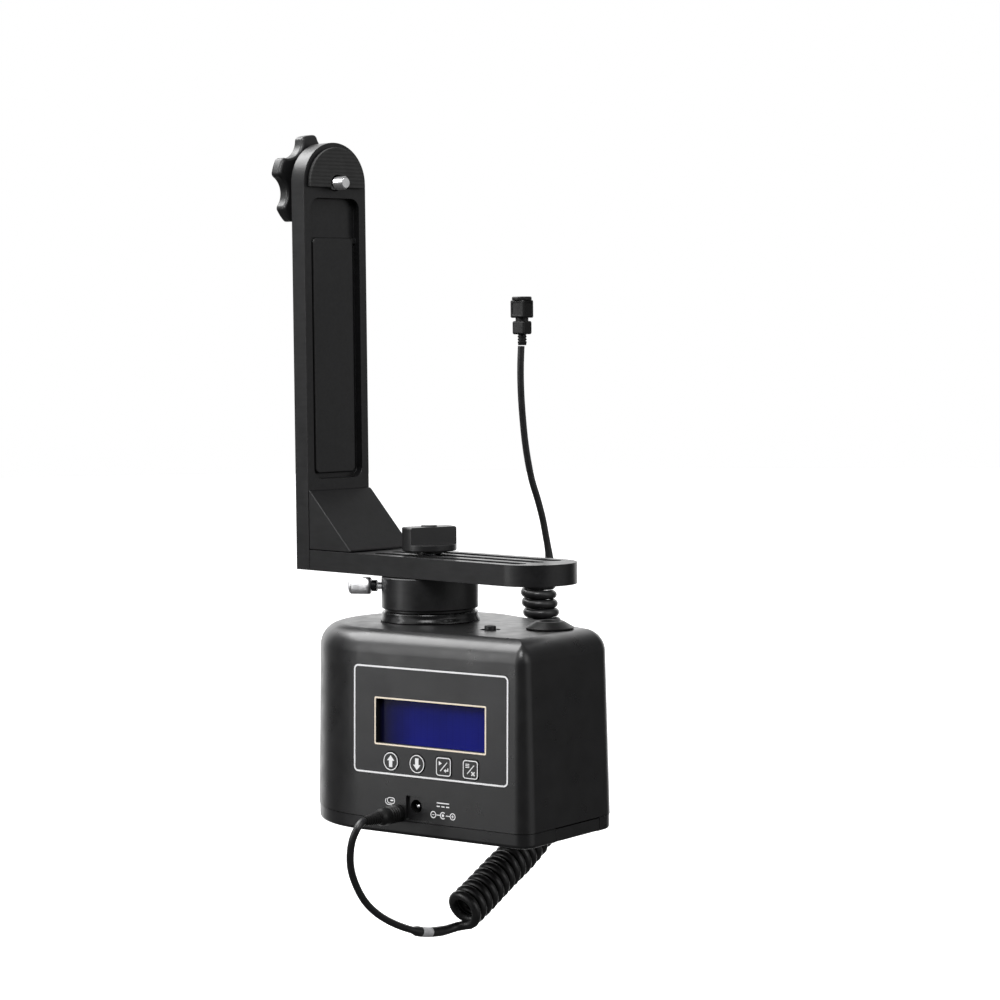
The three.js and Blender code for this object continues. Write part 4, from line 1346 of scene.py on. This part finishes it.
class PANHEAD_OT_sockets(bpy.types.Operator):
    """Make the power socket's body and pin"""

    bl_idname = "pan_head.sockets"
    bl_label = "Sockets"

    def execute(self, context):
        body = cad_copy("power_jack")
        soften(body, 0.25, 2)
        finished(body, "power_socket", "base", LOOKS["plug"], ["power_jack"])
        pin = lathe("power_pin", [(0, -0.2), (0.45, -0.1), (0.8, 0.25), (0.9, 0.7), (0.9, 9.2), (0, 9.2)], 32)
        x, z = POWER_JACK
        settle(
            pin, FRONT_FACE @ Matrix.Translation((x, 2.6, z)) @ Matrix.Rotation(math.radians(-90), 4, "X")
        )
        finished(pin, "power_pin", "base", LOOKS["nickel"], ["power_jack_pin"])
        dress("release_jack", "plug")
        dress("display_glass", "screen")
        return {"FINISHED"}


class PANHEAD_OT_top_fittings(bpy.types.Operator):
    """Make the cord boss and the power button on top of the housing"""

    bl_idname = "pan_head.top_fittings"
    bl_label = "Top fittings"

    def execute(self, context):
        z = HOUSING_H + 0.3
        boss = lathe("cord_boss", [
            (0, z), (10.5, z), (10.7, z + 0.2), (10.7, z + 0.5), (10.45, z + 0.72), (6.9, z + 2.85),
            (6.5, z + 3.15), (6.1, z + 3.3), (5.3, z + 3.3), (5, z + 3.15), (4.5, z + 2.5), (3.9, z + 2.4),
            (0, z + 2.4),
        ])
        settle(boss, Matrix.Translation((*BOSS, 0)))
        finished(boss, "cord_boss", "base", LOOKS["plug"], ["top_boss"], smooth=28)
        button = lathe("on_button", [
            (0, 84.9), (2.6, 84.9), (2.6, 90.6), (2.45, 90.9), (2.1, 91.08), (1.6, 91.1), (1.2, 90.95),
            (0, 90.9),
        ], 48)
        settle(button, Matrix.Translation((*BUTTON, 0)))
        finished(button, "on_button", "button_power", LOOKS["knob"], ["power_button"])
        return {"FINISHED"}


class PANHEAD_OT_pan_hub(bpy.types.Operator):
    """Make the turned collar, the pan hub and the knurled lock screw"""

    bl_idname = "pan_head.pan_hub"
    bl_label = "Pan hub and lock screw"

    def execute(self, context):
        z = HOUSING_H + 0.3
        collar = lathe("hub_collar", [
            (6, z), (22.65, z), (22.78, z + 0.15), (22.74, z + 0.5), (22.6, z + 1.0), (22.34, z + 1.6),
            (22.15, z + 2.1), (22.05, z + 2.7), (22.05, 93.2), (21.8, 93.6), (6, 93.6),
        ], 128)
        finished(collar, "hub_collar", "base", LOOKS["collar"], ["pan_collar"], smooth=28)
        hub = lathe("turning_hub", [
            (5.3, 93.9), (20.6, 93.9), (20.8, 94.1), (20.8, 94.9), (21.1, 95.1), (21.9, 95.3), (22.1, 95.6),
            (22.1, 109.1), (22.02, 109.4), (21.8, 109.62), (21.5, 109.7), (3.4, 109.7), (3.4, 100.6),
            (0, 100.6), (0, 98.8), (5.3, 98.8),
        ], 128)
        cut(hub, settle(peg(2, 9, 30, sides=32), LOCK))
        finished(hub, "turning_hub", "rotor", LOOKS["anodised"], ["pan_hub"], smooth=28)
        dress("lock_screw_shank", "nickel")
        ring = lathe("lock_ring", [
            (0, 24.7), (2.3, 24.7), (2.6, 25), (2.6, 27.1), (2.3, 27.4), (0, 27.4)
        ], 40)
        settle(ring, LOCK)
        finished(ring, "lock_ring", "lock_screw", LOOKS["collar"], ["lock_screw_collar"])
        self.lock_head(context.scene.pan_head_bracket.knurls)
        return {"FINISHED"}

    def lock_head(self, knurls):
        """A turned head whose middle is pressed into straight ridges between two plain bands."""
        profile = [(0, 27.7), (3.2, 27.7), (3.7, 28.1), (3.9, 28.5), (3.9, 29.1), (3.9, 29.3)]
        profile += [(3.9, 36.2), (3.9, 36.4), (3.9, 36.9), (3.7, 37.4), (3.2, 37.8), (2.6, 38), (0, 38)]
        head = lathe("lock_head", profile, knurls * 2)
        edit(head)
        step = math.pi / knurls

        def in_groove(vertex):
            if not 29.2 < vertex.co.z < 36.3 or vertex.co.xy.length < 3:
                return False
            return round(math.atan2(vertex.co.y, vertex.co.x) / step) % 2 == 1

        select_vertices(head, in_groove)
        bpy.ops.transform.resize(value=(0.96, 0.96, 1), center_override=(0, 0, 0))
        leave_edit()
        settle(head, LOCK)
        finished(head, "lock_head", "lock_screw", LOOKS["knurled"], ["lock_screw_head"], smooth=40)


class PANHEAD_OT_bracket(bpy.types.Operator):
    """Make the slide plate, corner gusset and upright arm with their cast and milled edges"""

    bl_idname = "pan_head.bracket"
    bl_label = "Bracket"

    def execute(self, context):
        sizes = context.scene.pan_head_bracket
        rows = (
            ("slide_plate", "base_plate", sizes.plate_edge, 4),
            ("corner_gusset", "gusset", sizes.gusset_edge, 3),
            ("upright_arm", "arm", sizes.arm_edge, 3),
        )
        for node, name, width, segments in rows:
            made = cad_copy(node)
            soften(made, width / MM, segments)
            finished(made, name, "bracket", LOOKS["anodised"], [node], smooth=24)
        for i in (1, 2):
            screw = cad_copy(f"bracket_screw_{i}")
            soften(screw, 0.25, 2)
            finished(screw, f"arm_screw_{i}", "bracket", LOOKS["steel"], [f"bracket_screw_{i}"])
        self.arm_panel(sizes.panel_edge / MM)
        return {"FINISHED"}

    def arm_panel(self, edge):
        """The raised field in the arm's pocket, with a narrow channel left all round it."""
        half, low, high, thickness = 12.5, 154.9, 265.8, 2.2
        levels = [(0, -0.2), (0, thickness - edge)]
        levels += [(edge * (1 - math.cos(a)), thickness - edge * (1 - math.sin(a))) for a in QUARTER_STEPS]
        rings = []
        for inset, height in levels:
            outline = rounded_outline(
                0, (low + high) / 2, 2 * (half - inset), high - low - 2 * inset, 2.6 - inset
            )
            rings.append([(height, y, z) for y, z in outline])
        panel = ring_stack("arm_panel", rings)
        settle(panel, BRACKET @ Matrix.Translation((ARM_IN - POCKET_DEPTH, 0, 0)))
        finished(panel, "arm_panel", "bracket", LOOKS["anodised"])


class PANHEAD_OT_hand_knobs(bpy.types.Operator):
    """Make the clamp knob on the pan axis and the star knob on the arm"""

    bl_idname = "pan_head.hand_knobs"
    bl_label = "Hand knobs"

    def execute(self, context):
        sizes = context.scene.pan_head_bracket
        clamp = cad_copy("clamp_knob")
        soften(clamp, sizes.clamp_edge / MM, 4)
        finished(clamp, "wing_knob", "clamp", LOOKS["knob"], ["clamp_knob"], smooth=24)
        dress("clamp_stud", "steel")
        self.star(sizes.knob_edge / MM)
        self.camera_screw(sizes.thread_pitch / MM)
        return {"FINISHED"}

    def star_ring(self, inset, height, corner=2.3):
        """One level of the six-lobed outline: lobes, rounded corners and scallops, all offset together."""
        disc, bite, reach = 23.5, 8.7, 26.8
        near, far = disc - corner, bite + corner
        turn = math.acos((near**2 + reach**2 - far**2) / (2 * near * reach))
        points = []
        half = TURN / STAR_LOBES / 2
        for lobe in range(STAR_LOBES):
            middle = STAR_PHASE + lobe * 2 * half
            scallop = middle + half
            sx, sy = reach * math.cos(scallop), reach * math.sin(scallop)
            for side in (-1, 1):
                a = middle + side * (half - turn)
                cx, cy = near * math.cos(a), near * math.sin(a)
                bite_at = scallop if side > 0 else scallop - 2 * half
                bx, by = reach * math.cos(bite_at), reach * math.sin(bite_at)
                towards = math.atan2(by - cy, bx - cx)
                swing = (towards - a + math.pi) % TURN - math.pi
                if side < 0:
                    points += arc(cx, cy, corner - inset, a + swing, a, 8)
                    points += arc(0, 0, disc - inset, a, 2 * middle - a, 8)[1:-1]
                else:
                    points += arc(cx, cy, corner - inset, a, a + swing, 8)
                    start = towards + math.pi
                    after = scallop + turn
                    nx, ny = near * math.cos(after), near * math.sin(after)
                    end = math.atan2(ny - sy, nx - sx)
                    back = (end - start + math.pi) % TURN - math.pi
                    points += arc(sx, sy, bite + inset, start, start + back, 14)[1:-1]
        return [(x, y, height) for x, y in points]

    def star(self, edge):
        """Six-lobed knob with a dished outer face and a boss towards the arm."""
        levels = [(edge * (1 - math.sin(a)), edge * (1 - math.cos(a))) for a in (0, *QUARTER_STEPS)]
        rings = [self.star_ring(inset, height) for inset, height in levels]
        rings += [self.star_ring(inset, 6.5 - height) for inset, height in reversed(levels)]
        star = ring_stack("star", rings)
        cut(
            star,
            lathe("dish", [(0, -1), (14.5, -1), (14.5, 0), (13.2, 0.7), (0, 0.7)], 96),
            peg(3.6, -2, 12, sides=48),
        )
        soften(star, 0.3, 2, angle=35)
        boss = lathe("boss", [
            (3.6, 5.9), (8.6, 5.9), (8.15, 6.9), (8, 7.6), (8, 9.9), (7.7, 10.2), (3.6, 10.2)
        ], 72)
        made = join("star", [star, boss])
        settle(made, KNOB)
        finished(made, "star", "camera_knob", LOOKS["knob"], ["star_knob"], smooth=28)

    def camera_screw(self, pitch):
        """A screw with a helical thread on the end that enters the camera."""
        leave_edit()
        bpy.ops.object.select_all(action="DESELECT")
        bpy.ops.mesh.primitive_circle_add(vertices=4, radius=1)
        thread = bpy.context.object
        bpy.ops.object.mode_set(mode="EDIT")
        start = 20.2
        place_vertices(thread, [
            (2.62, 0, start), (3.1, 0, start + pitch * 0.44),
            (3.1, 0, start + pitch * 0.56), (2.62, 0, start + pitch),
        ])
        select_edges(thread, lambda e: all(abs(v.co.x - 2.62) < 1e-4 for v in e.verts))
        bpy.ops.mesh.delete(type="EDGE")
        leave_edit()
        apply(
            thread, "SCREW", angle=TURN, screw_offset=pitch, iterations=5, steps=32, render_steps=32,
            axis="Z", use_smooth_shade=True,
        )
        apply(thread, "WELD", merge_threshold=0.001)
        core = lathe("core", [
            (0, 1.3), (3.1, 1.3), (3.1, 19.6), (2.62, 20.2), (2.62, 26.8), (2.3, 27.55), (0, 27.6)
        ], 48)
        made = join("seat_screw", [core, thread])
        settle(made, KNOB)
        finished(
            made, "seat_screw", "camera_knob", LOOKS["nickel"], ["camera_screw"], weighted=False
        )


class PANHEAD_OT_camera_seat(bpy.types.Operator):
    """Make the rubber pad that the camera bears on"""

    bl_idname = "pan_head.camera_seat"
    bl_label = "Camera seat"

    def execute(self, context):
        pad = cad_copy("camera_pad")
        soften(pad, 0.4, 3)
        finished(pad, "seat_pad", "bracket", LOOKS["pad"], ["camera_pad"], smooth=24)
        return {"FINISHED"}


class PANHEAD_OT_inner_works(bpy.types.Operator):
    """Finish the parts inside the housing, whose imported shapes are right"""

    bl_idname = "pan_head.inner_works"
    bl_label = "Inner works"

    def execute(self, context):
        rows = {
            "board": ("display_board", "keypad_board", "main_board"),
            "plug": ("power_switch", "battery_case"),
            "steel": (
                "upper_bearing", "lower_bearing", "chassis_plate", "motor_can", "output_shaft", "shaft_nut",
            ),
            "brass": ("motor_gearbox", "drive_pinion"),
            "nylon": ("output_gear",),
            "cell": ("battery_1", "battery_2", "battery_3", "battery_4"),
        }
        for look, nodes in rows.items():
            for node in nodes:
                dress(node, look)
        return {"FINISHED"}


class PANHEAD_PT_builder(bpy.types.Panel):
    """The pan head's sizes and the buttons that build it"""

    bl_label = "Pan head"
    bl_space_type = "VIEW_3D"
    bl_region_type = "UI"
    bl_category = "Pan head"

    def draw(self, context):
        layout = self.layout
        for key, title in GROUPS:
            box = layout.box()
            box.label(text=title)
            group = getattr(context.scene, key)
            for prop in group.bl_rna.properties:
                if prop.identifier not in ("rna_type", "name"):
                    box.prop(group, prop.identifier)
        for operator in OPERATORS:
            layout.operator(operator.bl_idname)


SIZES = {
    "pan_head_housing": HousingSizes, "pan_head_bracket": BracketSizes, "pan_head_cord": CordSizes,
    "pan_head_finishes": Finishes, "pan_head_studio": StudioSizes,
}
GROUPS = (
    ("pan_head_housing", "Housing"), ("pan_head_bracket", "Bracket"), ("pan_head_cord", "Release cord"),
    ("pan_head_finishes", "Finishes"), ("pan_head_studio", "Studio"),
)
OPERATORS = (
    PANHEAD_OT_finishes, PANHEAD_OT_studio, PANHEAD_OT_release_cord, PANHEAD_OT_housing_cover,
    PANHEAD_OT_underside, PANHEAD_OT_front_prints, PANHEAD_OT_keys, PANHEAD_OT_sockets,
    PANHEAD_OT_top_fittings, PANHEAD_OT_pan_hub, PANHEAD_OT_bracket, PANHEAD_OT_hand_knobs,
    PANHEAD_OT_camera_seat, PANHEAD_OT_inner_works,
)


def register():
    for made in (*SIZES.values(), *OPERATORS, PANHEAD_PT_builder):
        bpy.utils.register_class(made)
    for key, group in SIZES.items():
        setattr(bpy.types.Scene, key, bpy.props.PointerProperty(type=group))


def unregister():
    for key in SIZES:
        delattr(bpy.types.Scene, key)
    for made in reversed((*SIZES.values(), *OPERATORS, PANHEAD_PT_builder)):
        bpy.utils.unregister_class(made)


def main():
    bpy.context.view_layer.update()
    register()
    bpy.ops.pan_head.finishes()
    bpy.ops.pan_head.studio()
    bpy.ops.pan_head.release_cord()
    bpy.ops.pan_head.housing_cover()
    bpy.ops.pan_head.underside()
    bpy.ops.pan_head.front_prints()
    bpy.ops.pan_head.keys()
    bpy.ops.pan_head.sockets()
    bpy.ops.pan_head.top_fittings()
    bpy.ops.pan_head.pan_hub()
    bpy.ops.pan_head.bracket()
    bpy.ops.pan_head.hand_knobs()
    bpy.ops.pan_head.camera_seat()
    bpy.ops.pan_head.inner_works()
    leave_edit()


if __name__ == "__main__":
    main()
